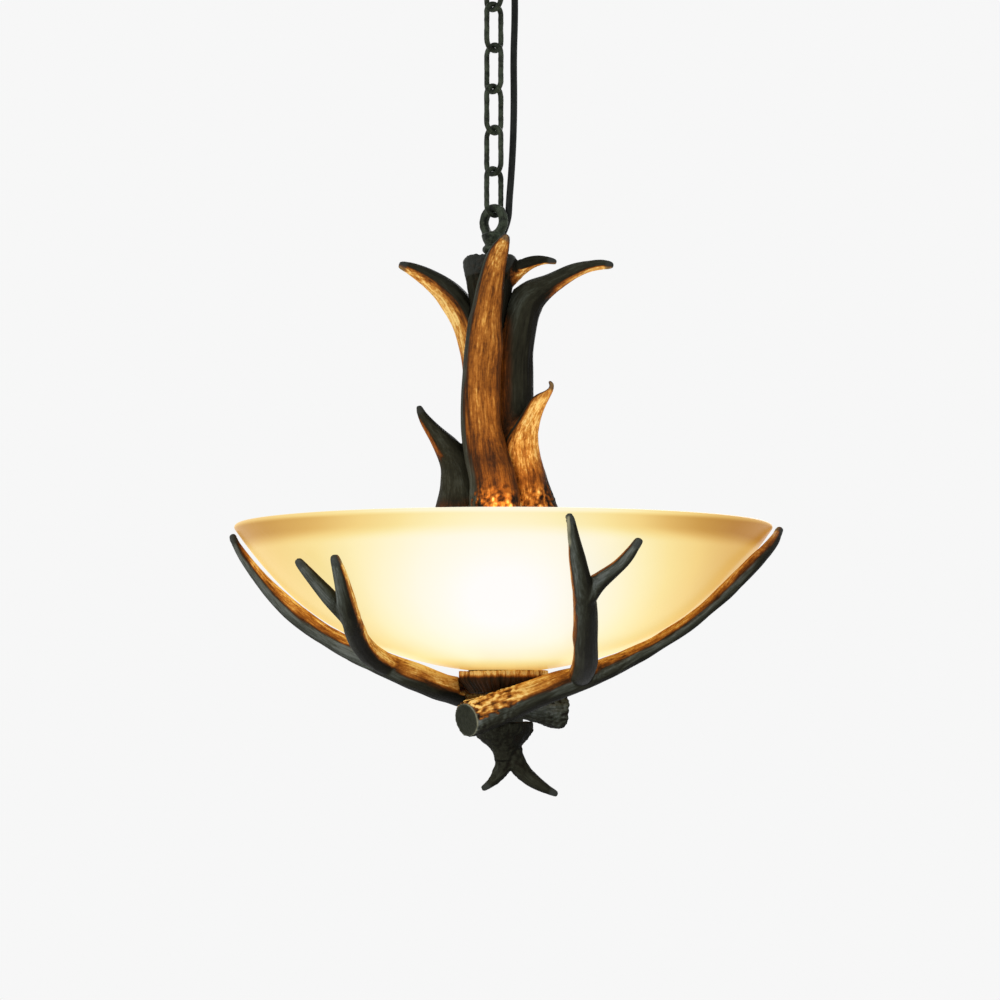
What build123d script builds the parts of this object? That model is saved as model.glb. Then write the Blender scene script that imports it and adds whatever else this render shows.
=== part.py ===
from build123d import *
import os
from math import asin, cos, degrees, pi, radians, sin, sqrt, tan

# A ceiling pendant: three cast antler stems on a hollow tube, over a frosted glass bowl that three
# forked antlers cup from below, all hanging from a ceiling canopy on a short chain.
# Millimetres, +Z up. The origin is on the ceiling, on the line that the chain hangs along.
# +X is the viewer's right, and the viewer stands toward -Y.

os.makedirs("parts", exist_ok=True)

# Clearances
running_slack = 0.3
seat_gap = 0.3
thread_gap = 0.05
bore_gap = 0.3

# Ceiling bracket and canopy
bracket_length = 108
bracket_width = 20
bracket_gauge = 2
bracket_drop = 14
bracket_web_length = 36
bracket_foot_start = 24
bracket_tab_x = 14
bracket_tab_length = 6
bracket_tab_width = 10
ceiling_screw_spacing = 60
ceiling_slot_width = 5
ceiling_slot_length = 10
stud_spacing = 92
stud_r = 2
stud_head_r = 4
cap_nut_r = 4.5
cap_nut_height = 8
cap_nut_round = 3.6
stud_below_floor = 5
canopy_r = 60
canopy_height = 28
canopy_wall = 1.2
canopy_round = 6
nipple_r = 5
nipple_bore_r = 3.5
nipple_above_web = 7
m10_nut_across = 17
m10_nut_height = 8
thin_nut_height = 5

# Wiring in the canopy
cord_d = 5.8
gland_x = 17.5
gland_y = 14
gland_r = 5.4
gland_flange_r = 7.5
gland_flange = 1.6
gland_below = 3
terminal_length = 24
terminal_width = 15
terminal_height = 7
terminal_tab_x = 20

# Canopy loop
loop_collar_r = 9
loop_collar_height = 4
loop_neck_height = 2.5
loop_neck_r = 7
loop_neck_taper = 25
loop_bar_d = 5
loop_bore_r = 7.5
loop_thread_depth = 3.6

# Chain
link_count = 6
link_wire = 4.3
link_length = 44
link_width = 21
link_twist = 45

# Hanging eye
eye_r = 14.75
eye_bore_r = 8
eye_thickness = 6.4
eye_round = 2
eye_drop = 29.7
eye_shoulder_r = 10.4
eye_neck_r = 7.4
eye_bead_r = 9.5
eye_bead_height = 7
eye_bead_rise = 6.4
eye_shank_r = 8
eye_shank_length = 24
wire_way_gap = 0.3
wire_mouth = (7.6, 1.6, 20)
wire_bend_rise = 2
wire_lead_in = 12
tube_top_drop = 7.5

# Trunk
trunk_height = 225.5
tube_r = 5
tube_bore_r = 4
trunk_foot_drop = 15
trunk_plate_r = 44
trunk_plate_gauge = 3
trunk_screw_r = 2.4
trunk_screw_head_r = 4.6
trunk_screw_head = 2.8
trunk_screw_depth = 14
trunk_screw_places = ((-2, -26), (29, 2), (-14, 20))
seam_direction = (25, -13.5, 0)
seam_offset = -2.5
crown_x = -3
crown_front = -12.5
crown_rows = ((20, 0), (23, 4), (22.4, 9), (19.4, 21), (17, 40), (15, 62))

# Cluster of lamp holders
cluster_top_drop = 30
cluster_r = 24
cluster_height = 32
cluster_wall = 4
cluster_roof = 6
cover_gauge = 4
cover_spigot = 4
holder_axis_drop = 46
holder_count = 3
holder_start = 25
holder_r = 19
holder_length = 38
holder_back = 6
holder_nipple_inner = 17
holder_nipple_engaged = 4
contact_r = 5
contact_gauge = 1.5
lead_r = 1.4
cap_r = 13.1
cap_length = 26
cap_seat = 36
cap_wall = 0.6
cap_tip_r = 4.5
cap_tip = 2.5
bulb_r = 22.5
bulb_length = 50
bulb_wall = 1
bulb_neck_r = 12.2
bulb_in_cap = 3
bulb_neck_flare = 0.4

# Bowl and what clamps it
bowl_x = 8
bowl_r = 225
bowl_depth = 121.5
glass_wall = 5
bowl_hole_r = 6.5
rim_round = 1.6
rod_r = 5
rod_in_finial = 14
inner_gasket_r = 14
inner_gasket_gauge = 2.5
clamp_washer_r = 15
clamp_washer_gauge = 2
outer_gasket_r = 29
outer_gasket_gauge = 1.5
outer_gasket_blank = 9
rosette_r = 35
rosette_tooth_r = 1.8
rosette_teeth = 52
rosette_below = 17

# Bracket that the bowl's antlers are screwed to
arm_bracket_gauge = 3
arm_bracket_left = -14
arm_bracket_right = 16
arm_front_seat = 30
arm_back_seat = 16
arm_far_seat = 54
arm_strap_left = -6
arm_flange_drop = 24
arm_screw_r = 2.5
arm_screw_head_r = 4.2
arm_screw_head = 3
arm_screw_length = 15
arm_screw_drop = 14
arm_screw_inset = 6
root_clear_depth = 48
far_clear_depth = 96
root_clear_height = 34
sawn_face = (-37.5, -27, 44)
sawn_direction = (0.80, 0.55, 0.25)

# Finial
finial_below_web = 21.5
finial_rows = ((24, 0), (23.8, 7), (19.5, 13.5), (14.5, 20), (11.4, 26), (10, 31))
finial_insert_r = 7
finial_insert_length = 16
finial_spacer_r = 8

# Steps along a horn
limb_step = 14

# Heights, from the ceiling down
link_pitch = link_length - 2 * link_wire - running_slack
loop_centre_z = -(canopy_height + loop_collar_height + loop_neck_height + loop_bar_d + loop_bore_r)
loop_bar_z = loop_centre_z - loop_bore_r - loop_bar_d / 2
top_link_z = loop_bar_z + loop_bar_d / 2 + running_slack - (link_length / 2 - link_wire)
link_heights = [top_link_z - step * link_pitch for step in range(link_count)]
link_seat_z = link_heights[-1] - link_length / 2 + link_wire
eye_centre_z = link_seat_z + running_slack - eye_bore_r
crown_top_z = eye_centre_z - eye_drop
rim_z = crown_top_z - trunk_height
trunk_foot_z = rim_z - trunk_foot_drop

# The glass is a cap of a sphere
sphere_r = (bowl_r**2 + bowl_depth**2) / (2 * bowl_depth)
sphere_rise = sphere_r - bowl_depth
sphere_centre = Vector(bowl_x, 0, rim_z + sphere_rise)
inner_r = sphere_r - glass_wall
rim_angle = degrees(asin(bowl_r / sphere_r))
glass_bottom_z = rim_z - bowl_depth
bowl_axis = Axis((bowl_x, 0, rim_z), (0, 0, 1))

# The stack under and over the glass
rosette_bottom_z = glass_bottom_z - rosette_below
arm_web_bottom_z = rosette_bottom_z - arm_bracket_gauge
arm_screw_z = rosette_bottom_z - arm_screw_drop
finial_top_z = arm_web_bottom_z - finial_below_web
rod_end_z = finial_top_z - rod_in_finial
clamp_washer_z = glass_bottom_z + glass_wall + inner_gasket_gauge
cluster_top_z = rim_z - cluster_top_drop
cluster_bottom_z = cluster_top_z - cluster_height
holder_z = rim_z - holder_axis_drop



def side_plane(x, z):
    """The plane that the viewer faces, with its origin at x, z: local x is right, local y is up."""
    return Plane(origin=(x, 0, z), x_dir=(1, 0, 0), z_dir=(0, -1, 0))


def upright_plane(angle, z):
    """An upright plane through the chain's line, turned by an angle about it."""
    turn = radians(angle)
    return Plane(origin=(0, 0, z), x_dir=(cos(turn), sin(turn), 0), z_dir=(sin(turn), -cos(turn), 0))


def spoke_plane(angle, reach, z):
    """A plane square to a spoke of the bowl's axis, whose normal points outward along the spoke."""
    turn = radians(angle)
    start = (bowl_x + reach * cos(turn), reach * sin(turn), z)
    return Plane(origin=start, x_dir=(-sin(turn), cos(turn), 0), z_dir=(cos(turn), sin(turn), 0))


def limb(stations, about=None):
    """A horn: circles at even steps along a smooth line through the stations, in one loft.

    A station is a point and a radius. The circles of a horn on the glass are set square to it,
    by the point that the glass is round.
    """
    points = [point for point, radius in stations]
    radii = [radius for point, radius in stations]
    centre_line = Spline(*points)
    chords = [(end - start).length for start, end in zip(points, points[1:])]
    marks = [sum(chords[:count]) / sum(chords) for count in range(len(points))]
    steps = round(centre_line.length / limb_step)
    span = 1
    with BuildPart() as horn:
        for step in range(steps + 1):
            share = step / steps
            while span < len(chords) and marks[span] < share:
                span += 1
            blend = (share - marks[span - 1]) / (marks[span] - marks[span - 1])
            point = centre_line @ share
            run = centre_line % share
            side = point - about if about else Vector(0, 1, 0)
            with BuildSketch(Plane(origin=point, x_dir=run.cross(side), z_dir=run)):
                Circle(radii[span - 1] * (1 - blend) + radii[span] * blend)
        loft()
    return horn.part


def on_trunk(rows):
    """Trunk stations: x and y from the tube, hundredths of the trunk's height, radius."""
    return [(Vector(x, y, rim_z + share / 100 * trunk_height), r) for x, y, share, r in rows]


def under_bowl(rows):
    """Root stations: x and y from the bowl's axis, drop under the glass, radius."""
    return [(Vector(bowl_x + x, y, glass_bottom_z - drop), r) for x, y, drop, r in rows]


def round_bowl(rows):
    """Stations that follow the glass: azimuth, hundredths of the climb to the rim, gap, radius."""
    stations = []
    for azimuth, climb, gap, radius in rows:
        polar = radians(climb / 100 * rim_angle)
        turn = radians(azimuth)
        reach = sphere_r + gap + radius
        outward = Vector(sin(polar) * cos(turn), sin(polar) * sin(turn), -cos(polar))
        stations.append((sphere_centre + outward * reach, radius))
    return stations


def lead_tube(points, radii, diameter, start_plane):
    """A round lead along straight runs that tangent arcs join."""
    with BuildPart() as lead:
        with BuildLine() as route:
            FilletPolyline(*points, radius=radii)
        with BuildSketch(start_plane):
            Circle(diameter / 2)
        sweep(path=route.wires()[0])
    return lead.part


def bend_radii(points):
    """The arc at each corner: 0.45 of the shorter run, over the tangent of half the turn."""
    radii = []
    for before, corner, after in zip(points, points[1:], points[2:]):
        turn = radians((corner - before).get_angle(after - corner))
        shorter = min((corner - before).length, (after - corner).length)
        radii.append(0.45 * shorter / tan(turn / 2))
    return radii


def hex_nut(z, across, height, bore, x):
    """A nut whose top face is at z."""
    with BuildPart() as nut:
        with BuildSketch(Plane.XY.offset(z)):
            with Locations((x, 0)):
                RegularPolygon(across / 2, 6, major_radius=False)
                Circle(bore, mode=Mode.SUBTRACT)
        extrude(amount=-height)
    return nut.part


def save(part, name):
    part.label = name
    export_step(part, "parts/" + name + ".step")


# Ceiling bracket: a strap whose feet lie on the ceiling and whose web hangs clear for the nut
foot_end = bracket_length / 2
web_end = bracket_web_length / 2
with BuildPart() as ceiling_bracket:
    with BuildSketch(Plane.XZ.offset(-bracket_width / 2)):
        with BuildLine():
            Polyline(
                (-foot_end, 0),
                (-bracket_foot_start, 0),
                (-web_end, -bracket_drop + bracket_gauge),
                (web_end, -bracket_drop + bracket_gauge),
                (bracket_foot_start, 0),
                (foot_end, 0),
                (foot_end, -bracket_gauge),
                (bracket_foot_start + bracket_gauge / 2, -bracket_gauge),
                (web_end + bracket_gauge / 2, -bracket_drop),
                (-web_end - bracket_gauge / 2, -bracket_drop),
                (-bracket_foot_start - bracket_gauge / 2, -bracket_gauge),
                (-foot_end, -bracket_gauge),
                close=True,
            )
        make_face()
    extrude(amount=bracket_width)
    with BuildSketch(Plane.XY.offset(-bracket_drop)):
        with Locations((gland_x, gland_y)):
            Rectangle(terminal_tab_x, terminal_width)
        with Locations((bracket_tab_x, bracket_width / 2)):
            Rectangle(bracket_tab_length, bracket_tab_width)
    extrude(amount=bracket_gauge)
    with BuildSketch(Plane.XY):
        with Locations((-ceiling_screw_spacing / 2, 0), (ceiling_screw_spacing / 2, 0)):
            SlotOverall(ceiling_slot_length, ceiling_slot_width)
        with Locations((-stud_spacing / 2, 0), (stud_spacing / 2, 0)):
            Circle(stud_r + thread_gap)
    extrude(amount=-bracket_gauge * 2, mode=Mode.SUBTRACT)
    with BuildSketch(Plane.XY.offset(-bracket_drop)):
        Circle(nipple_r + thread_gap)
    extrude(amount=bracket_gauge, mode=Mode.SUBTRACT)
save(ceiling_bracket.part, "ceiling_bracket")

# Canopy: a spun cup, open to the ceiling
canopy_floor_z = -canopy_height
with BuildPart() as canopy:
    with BuildSketch(Plane.XY.offset(-seat_gap)):
        Circle(canopy_r)
    extrude(amount=canopy_floor_z + seat_gap)
    fillet(canopy.faces().sort_by(Axis.Z)[0].edges(), canopy_round)
    offset(amount=-canopy_wall, openings=canopy.faces().sort_by(Axis.Z)[-1])
    with BuildSketch(Plane.XY.offset(canopy_floor_z)):
        Circle(nipple_r + bore_gap)
        with Locations((-stud_spacing / 2, 0), (stud_spacing / 2, 0)):
            Circle(stud_r + bore_gap)
        with Locations((gland_x, gland_y)):
            Circle(gland_r)
    extrude(amount=canopy_round, mode=Mode.SUBTRACT)
save(canopy.part, "canopy")

# Studs from the bracket's feet, and the domed nuts that hold the canopy on them
with BuildPart() as canopy_studs:
    for side in (-1, 1):
        with BuildSketch(Plane.XY.offset(-bracket_gauge)):
            with Locations((side * stud_spacing / 2, 0)):
                Circle(stud_head_r)
        extrude(amount=-bracket_gauge)
        with BuildSketch(Plane.XY):
            with Locations((side * stud_spacing / 2, 0)):
                Circle(stud_r)
        extrude(amount=canopy_floor_z - stud_below_floor)
save(canopy_studs.part, "canopy_studs")

with BuildPart() as cap_nuts:
    for side in (-1, 1):
        with BuildSketch(Plane.XY.offset(canopy_floor_z)):
            with Locations((side * stud_spacing / 2, 0)):
                Circle(cap_nut_r)
        extrude(amount=-cap_nut_height)
        with BuildSketch(Plane.XY.offset(canopy_floor_z)):
            with Locations((side * stud_spacing / 2, 0)):
                Circle(stud_r + thread_gap)
        extrude(amount=-stud_below_floor - seat_gap, mode=Mode.SUBTRACT)
    fillet(cap_nuts.faces().group_by(Axis.Z)[0].edges(), cap_nut_round)
save(cap_nuts.part, "cap_nuts")

# Hollow nipple that carries the lamp, its nut on the bracket, and the loop under the canopy
nipple_top_z = -bracket_drop + bracket_gauge + nipple_above_web
nipple_bottom_z = canopy_floor_z - loop_thread_depth
with BuildPart() as canopy_nipple:
    with BuildSketch(Plane.XY.offset(nipple_bottom_z)):
        Circle(nipple_r)
        Circle(nipple_bore_r, mode=Mode.SUBTRACT)
    extrude(amount=nipple_top_z - nipple_bottom_z)
save(canopy_nipple.part, "canopy_nipple")

bracket_nut_top_z = -bracket_drop + bracket_gauge + thin_nut_height
bracket_nut = hex_nut(bracket_nut_top_z, m10_nut_across, thin_nut_height, nipple_r + thread_gap, 0)
save(bracket_nut, "bracket_nut")

loop_plane = upright_plane(link_twist, loop_centre_z)
with BuildPart() as canopy_loop:
    with BuildSketch(Plane(origin=(0, 0, loop_centre_z), x_dir=loop_plane.x_dir)):
        with Locations((loop_bore_r + loop_bar_d / 2, 0)):
            Circle(loop_bar_d / 2)
    revolve(axis=Axis((0, 0, loop_centre_z), loop_plane.z_dir))
    with BuildSketch(Plane.XY.offset(canopy_floor_z)):
        Circle(loop_collar_r)
    extrude(amount=-loop_collar_height)
    with BuildSketch(Plane.XY.offset(canopy_floor_z - loop_collar_height)):
        Circle(loop_neck_r)
    extrude(amount=-loop_neck_height - loop_bar_d / 2, taper=loop_neck_taper)
    with BuildSketch(Plane.XY.offset(canopy_floor_z)):
        Circle(nipple_r + thread_gap)
    extrude(amount=-loop_thread_depth, mode=Mode.SUBTRACT)
save(canopy_loop.part, "canopy_loop")

# Terminal block under the bracket's tab, the cord's gland in the canopy and the cord between them
terminal_top_z = -bracket_drop
terminal_bottom_z = terminal_top_z - terminal_height
gland_top_z = canopy_floor_z + canopy_wall + gland_flange
gland_bottom_z = canopy_floor_z - gland_below
with BuildPart() as terminal_block:
    with BuildSketch(Plane.XY.offset(terminal_top_z)):
        with Locations((gland_x, gland_y)):
            Rectangle(terminal_length, terminal_width)
    extrude(amount=-terminal_height)
    with BuildSketch(Plane.XZ.offset(-(gland_y - terminal_width / 2))):
        for step in (-1, 0, 1):
            with Locations((gland_x + step * terminal_length / 3, terminal_top_z - terminal_height / 2)):
                Circle(lead_r)
    extrude(amount=-terminal_width, mode=Mode.SUBTRACT)
save(terminal_block.part, "terminal_block")

with BuildPart() as cord_gland:
    with BuildSketch(Plane.XY.offset(gland_top_z)):
        with Locations((gland_x, gland_y)):
            Circle(gland_flange_r)
    extrude(amount=-gland_flange)
    with BuildSketch(Plane.XY.offset(gland_top_z)):
        with Locations((gland_x, gland_y)):
            Circle(gland_r - thread_gap)
    extrude(amount=gland_bottom_z - gland_top_z)
    with BuildSketch(Plane.XY.offset(gland_top_z)):
        with Locations((gland_x, gland_y)):
            Circle(cord_d / 2 + thread_gap)
    extrude(amount=gland_bottom_z - gland_top_z, mode=Mode.SUBTRACT)
save(cord_gland.part, "cord_gland")

with BuildPart() as canopy_lead:
    with BuildSketch(Plane.XY.offset(gland_bottom_z)):
        with Locations((gland_x, gland_y)):
            Circle(cord_d / 2)
    extrude(amount=terminal_bottom_z - gland_bottom_z)
save(canopy_lead.part, "canopy_lead")

# Chain: each link is an oval ring of wire, a quarter turn from the one above
arc_r = (link_width - link_wire) / 2
arc_rise = (link_length - link_width) / 2
for step, height in enumerate(link_heights):
    link_angle = link_twist + 90 * ((step + 1) % 2)
    link_plane = upright_plane(link_angle, height)
    with BuildPart() as chain_link:
        with BuildLine(link_plane) as oval:
            Line((-arc_r, -arc_rise), (-arc_r, arc_rise))
            ThreePointArc((-arc_r, arc_rise), (0, arc_rise + arc_r), (arc_r, arc_rise))
            Line((arc_r, arc_rise), (arc_r, -arc_rise))
            ThreePointArc((arc_r, -arc_rise), (0, -arc_rise - arc_r), (-arc_r, -arc_rise))
        oval_wire = oval.wires()[0]
        with BuildSketch(Plane(origin=oval_wire @ 0, z_dir=oval_wire % 0)):
            Circle(link_wire / 2)
        sweep(path=oval_wire)
    save(chain_link.part, "chain_link_" + str(step + 1))

# Supply cord, slack beside the chain from the gland to the wire-way in the eye
wire_mouth_point = Vector(wire_mouth[0], wire_mouth[1], crown_top_z + wire_mouth[2])
wire_bend = Vector(0, 0, crown_top_z + wire_bend_rise)
wire_rise = (wire_mouth_point - wire_bend).normalized()
cord_points = [
    Vector(gland_x, gland_y, gland_bottom_z),
    Vector(gland_x, gland_y, -60),
    Vector(17.9, 13.4, -94),
    Vector(16.6, 11.8, -130),
    Vector(17.1, 9.6, -166),
    Vector(16.4, 7.4, -201),
    Vector(14.8, 5.4, -231),
    Vector(12.9, 3.7, -255),
    wire_mouth_point + wire_rise * wire_lead_in,
    wire_mouth_point,
]
cord_radii = bend_radii(cord_points)
supply_cord = lead_tube(
    cord_points,
    cord_radii,
    cord_d,
    Plane(origin=cord_points[0], z_dir=cord_points[1] - cord_points[0]),
)
save(supply_cord, "supply_cord")
cord_run = sum((b - a).length for a, b in zip(cord_points, cord_points[1:]))
print("supply cord radii", [round(radius) for radius in cord_radii])
cord_section = pi * cord_d**2 / 4
print("supply cord volume", round(supply_cord.volume), "section x run", round(cord_section * cord_run))

# Hanging eye: a cast ring on a tapered neck with a bead, and a shank that takes the tube
eye_angle = link_twist + 90
tube_top_z = crown_top_z - tube_top_drop
tube_bottom_z = cluster_top_z - cluster_roof
stem_lead_end = Vector(0, 0, tube_bottom_z - cluster_wall)
wire_way_start = wire_mouth_point + wire_rise * wire_lead_in
wire_way_points = [wire_way_start, wire_bend, Vector(0, 0, tube_top_z - seat_gap)]
stem_lead_radii = bend_radii([wire_mouth_point, wire_bend, stem_lead_end])
bead_z = crown_top_z + eye_bead_rise
shoulder_z = eye_centre_z - eye_bore_r - (eye_r - eye_bore_r) / 4
with BuildPart() as hanging_eye:
    with BuildSketch(upright_plane(eye_angle, eye_centre_z)):
        Circle(eye_r)
        Circle(eye_bore_r, mode=Mode.SUBTRACT)
    extrude(amount=eye_thickness / 2, both=True)
    fillet(hanging_eye.edges().filter_by(GeomType.CIRCLE), eye_round)
    with BuildSketch(side_plane(0, 0)):
        with BuildLine():
            Polyline(
                (0, shoulder_z),
                (eye_shoulder_r - eye_round, shoulder_z),
                (eye_shoulder_r, shoulder_z - eye_round),
                (eye_neck_r, bead_z + eye_bead_height / 2),
                (eye_neck_r, crown_top_z + running_slack),
                (eye_shank_r, crown_top_z),
                (eye_shank_r, crown_top_z - eye_shank_length),
                (0, crown_top_z - eye_shank_length),
                close=True,
            )
        make_face()
        with Locations((eye_bead_r - eye_bead_height / 2, bead_z)):
            Circle(eye_bead_height / 2)
    revolve(axis=Axis.Z)
    with BuildSketch(Plane.XY.offset(crown_top_z - eye_shank_length)):
        Circle(tube_r + thread_gap)
    extrude(amount=tube_top_z + seat_gap - (crown_top_z - eye_shank_length), mode=Mode.SUBTRACT)
    with BuildLine() as wire_way:
        FilletPolyline(*wire_way_points, radius=stem_lead_radii)
    with BuildSketch(Plane(origin=wire_way_start, z_dir=-wire_rise)):
        Circle(cord_d / 2 + wire_way_gap)
    sweep(path=wire_way.wires()[0], mode=Mode.SUBTRACT)
save(hanging_eye.part, "hanging_eye")

# Hollow stem tube, and the lead that runs down it
with BuildPart() as stem_tube:
    with BuildSketch(Plane.XY.offset(tube_bottom_z)):
        Circle(tube_r)
        Circle(tube_bore_r, mode=Mode.SUBTRACT)
    extrude(amount=tube_top_z - tube_bottom_z)
save(stem_tube.part, "stem_tube")

stem_lead = lead_tube(
    [wire_mouth_point, wire_bend, stem_lead_end],
    stem_lead_radii,
    cord_d,
    Plane(origin=wire_mouth_point, z_dir=-wire_rise),
)
save(stem_lead, "stem_lead")


def crown_body(gap):
    """The burr at the trunk's top, grown by a gap where something must clear it."""
    outline = [(radius + gap, crown_top_z - drop) for radius, drop in crown_rows]
    top_z = crown_top_z + gap
    foot_z = outline[-1][1]
    with BuildPart() as burr:
        with BuildSketch(side_plane(crown_x, 0)):
            with BuildLine():
                Polyline((0, top_z), *outline, (0, foot_z), close=True)
            make_face()
        revolve(axis=Axis((crown_x, 0, 0), (0, 0, 1)))
    return burr.part


# Crown with its small tine, bored for the eye's shank and the tube
crown_solid = crown_body(0)
crown_tine = limb(
    on_trunk(
        [
            (7, 2, 90.5, 8.4),
            (14, -2, 92.6, 8.0),
            (22, -6, 95.3, 6.6),
            (31, -9, 97.1, 5.0),
            (41, -11, 98.0, 3.8),
            (49, -12, 97.6, 2.4),
            (51.5, -12, 97.2, 1.2),
        ]
    )
)
with BuildPart() as crown:
    add(crown_solid)
    add(crown_tine)
    with BuildSketch(Plane.XY.offset(crown_top_z)):
        Circle(eye_shank_r + thread_gap)
    extrude(amount=-eye_shank_length - seat_gap, mode=Mode.SUBTRACT)
    with BuildSketch(Plane.XY.offset(crown_top_z)):
        Circle(tube_r + bore_gap)
    extrude(amount=-trunk_height, mode=Mode.SUBTRACT)
    with BuildSketch(Plane.XZ.offset(-crown_front)):
        with Locations((crown_x, crown_top_z)):
            Rectangle(trunk_height, trunk_height)
    extrude(amount=eye_r * 2, mode=Mode.SUBTRACT)
save(crown.part, "crown")

# The three trunk antlers, each with a flat foot and the tube's bore
crown_room = crown_body(seat_gap)
foot_plane = Plane.XY.offset(trunk_foot_z)
seam_normal = Vector(*seam_direction).normalized()
right_seam = Plane(origin=seam_normal * (seam_offset + seat_gap / 2), z_dir=seam_normal)
left_seam = Plane(origin=seam_normal * (seam_offset - seat_gap / 2), z_dir=seam_normal)


def stem_antler(limbs, seam=None, keep=Keep.TOP):
    """Joins a trunk antler's limbs, flattens its foot and clears the tube, crown and neighbour."""
    with BuildPart() as antler:
        for horn in limbs:
            add(horn)
        split(bisect_by=foot_plane, keep=Keep.TOP)
        if seam:
            split(bisect_by=seam, keep=keep)
        add(crown_room, mode=Mode.SUBTRACT)
        with BuildSketch(Plane.XY.offset(trunk_foot_z - trunk_plate_gauge)):
            Circle(tube_r + bore_gap)
        extrude(amount=trunk_height + trunk_foot_drop, mode=Mode.SUBTRACT)
        with BuildSketch(foot_plane):
            with Locations(*trunk_screw_places):
                Circle(trunk_screw_r + thread_gap)
        extrude(amount=trunk_screw_depth, mode=Mode.SUBTRACT)
    return antler.part


front_beam = limb(
    on_trunk(
        [
            (-3, -27, -10, 17.0),
            (-2.5, -26.5, 6, 17.6),
            (-4, -23, 16, 16.4),
            (-8.4, -18.4, 26, 15.4),
            (-12.2, -15.4, 36, 14.6),
            (-12, -15, 50, 14.3),
            (-10.6, -15.4, 62, 13.9),
            (-6.2, -17.4, 77, 13.3),
            (-2.6, -21.5, 88, 11.3),
            (2, -24.5, 97, 9.2),
            (6.5, -25.5, 102.2, 6.6),
            (9.2, -26, 104.8, 4.2),
            (10.4, -26, 106.0, 1.8),
        ]
    )
)
right_beam = limb(
    on_trunk(
        [
            (30, 2.5, -10, 21.0),
            (29.5, 2.5, 6, 21.6),
            (25, 3, 17, 19.5),
            (19, 4, 27, 18.0),
            (15.8, 4, 40, 17.8),
            (15.5, 4, 53, 17.6),
            (16, 4, 63, 17.3),
            (18.2, 3, 72, 17.3),
            (22.8, 3, 80, 17.2),
            (33.5, 3, 86.2, 13.2),
            (48, 3, 90.2, 8.6),
            (65, 3, 94.5, 6.3),
            (82, 4, 97.0, 4.9),
            (95, 4, 97.3, 3.0),
            (99.5, 4, 97.2, 1.5),
        ]
    )
)
right_brow = limb(
    on_trunk(
        [
            (29, -3, 4, 16.4),
            (27, -5, 16, 16.5),
            (24.6, -9.4, 24, 14.8),
            (24, -14, 30, 13),
            (27, -18.5, 34.6, 10.2),
            (31, -22, 39.4, 8.0),
            (36.5, -24.5, 43.4, 6.3),
            (42, -27, 47.6, 4.6),
            (45.5, -28.2, 50.8, 2.6),
            (46.5, -28.5, 51.8, 1.4),
        ]
    )
)
left_beam = limb(
    on_trunk(
        [
            (-9, 20, -10, 20.0),
            (-9, 20, 6, 20.0),
            (-10, 18.5, 20, 17.5),
            (-9, 17.5, 40, 16.6),
            (-9.5, 17, 57, 15.8),
            (-14.5, 15.5, 68, 14.5),
            (-25, 14.5, 79.5, 13.0),
            (-37, 14, 86.5, 11.4),
            (-49, 13.5, 91.2, 8.9),
            (-64, 13, 95.2, 6.4),
            (-75, 12, 97.4, 4.2),
            (-79, 12, 97.8, 2.0),
        ]
    )
)
left_brow = limb(
    on_trunk(
        [
            (-26, 13, -10, 20.0),
            (-26, 13, 6, 20.0),
            (-27, 13.5, 17, 18.2),
            (-34, 13, 26, 12.8),
            (-42, 12, 31, 9.4),
            (-50, 11, 35.4, 6.7),
            (-57.5, 10, 39.8, 4.6),
            (-61.5, 10, 43.4, 2.6),
            (-62.6, 10, 44.6, 1.3),
        ]
    )
)
stem_antler_front = stem_antler([front_beam])
save(stem_antler_front, "stem_antler_front")
stem_antler_right = stem_antler([right_beam, right_brow], right_seam)
save(stem_antler_right, "stem_antler_right")
stem_antler_left = stem_antler([left_beam, left_brow], left_seam, Keep.BOTTOM)
save(stem_antler_left, "stem_antler_left")

# Plate, nut and screws that clamp the trunk's foot
plate_bottom_z = trunk_foot_z - trunk_plate_gauge
with BuildPart() as trunk_plate:
    with BuildSketch(Plane.XY.offset(trunk_foot_z)):
        Circle(trunk_plate_r)
        Circle(tube_r + bore_gap, mode=Mode.SUBTRACT)
        with Locations(*trunk_screw_places):
            Circle(trunk_screw_r + bore_gap, mode=Mode.SUBTRACT)
    extrude(amount=-trunk_plate_gauge)
save(trunk_plate.part, "trunk_plate")

save(hex_nut(plate_bottom_z, m10_nut_across, m10_nut_height, tube_r + thread_gap, 0), "trunk_nut")

with BuildPart() as trunk_screws:
    with BuildSketch(Plane.XY.offset(plate_bottom_z)):
        with Locations(*trunk_screw_places):
            Circle(trunk_screw_head_r)
    extrude(amount=-trunk_screw_head)
    with BuildSketch(Plane.XY.offset(plate_bottom_z)):
        with Locations(*trunk_screw_places):
            Circle(trunk_screw_r)
    extrude(amount=trunk_screw_depth)
save(trunk_screws.part, "trunk_screws")

# Cluster body under the trunk, screwed on the tube, and its cover, which carries the centre rod
holder_angles = [270 + step * 360 / holder_count for step in range(holder_count)]
with BuildPart() as cluster_body:
    with BuildSketch(Plane.XY.offset(cluster_top_z)):
        with Locations((bowl_x, 0)):
            Circle(cluster_r)
    extrude(amount=-cluster_height)
    with BuildSketch(Plane.XY.offset(cluster_top_z - cluster_roof)):
        with Locations((bowl_x, 0)):
            Circle(cluster_r - cluster_wall)
    extrude(amount=-cluster_height, mode=Mode.SUBTRACT)
    with BuildSketch(Plane.XY.offset(cluster_top_z)):
        Circle(tube_r + thread_gap)
    extrude(amount=-cluster_roof, mode=Mode.SUBTRACT)
    for angle in holder_angles:
        with BuildSketch(spoke_plane(angle, holder_nipple_inner, holder_z)):
            Circle(nipple_r + thread_gap)
        extrude(amount=cluster_r, mode=Mode.SUBTRACT)
    chamfer(cluster_body.faces().sort_by(Axis.Z)[-1].outer_wire().edges(), cluster_wall / 2)
save(cluster_body.part, "cluster_body")

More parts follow.
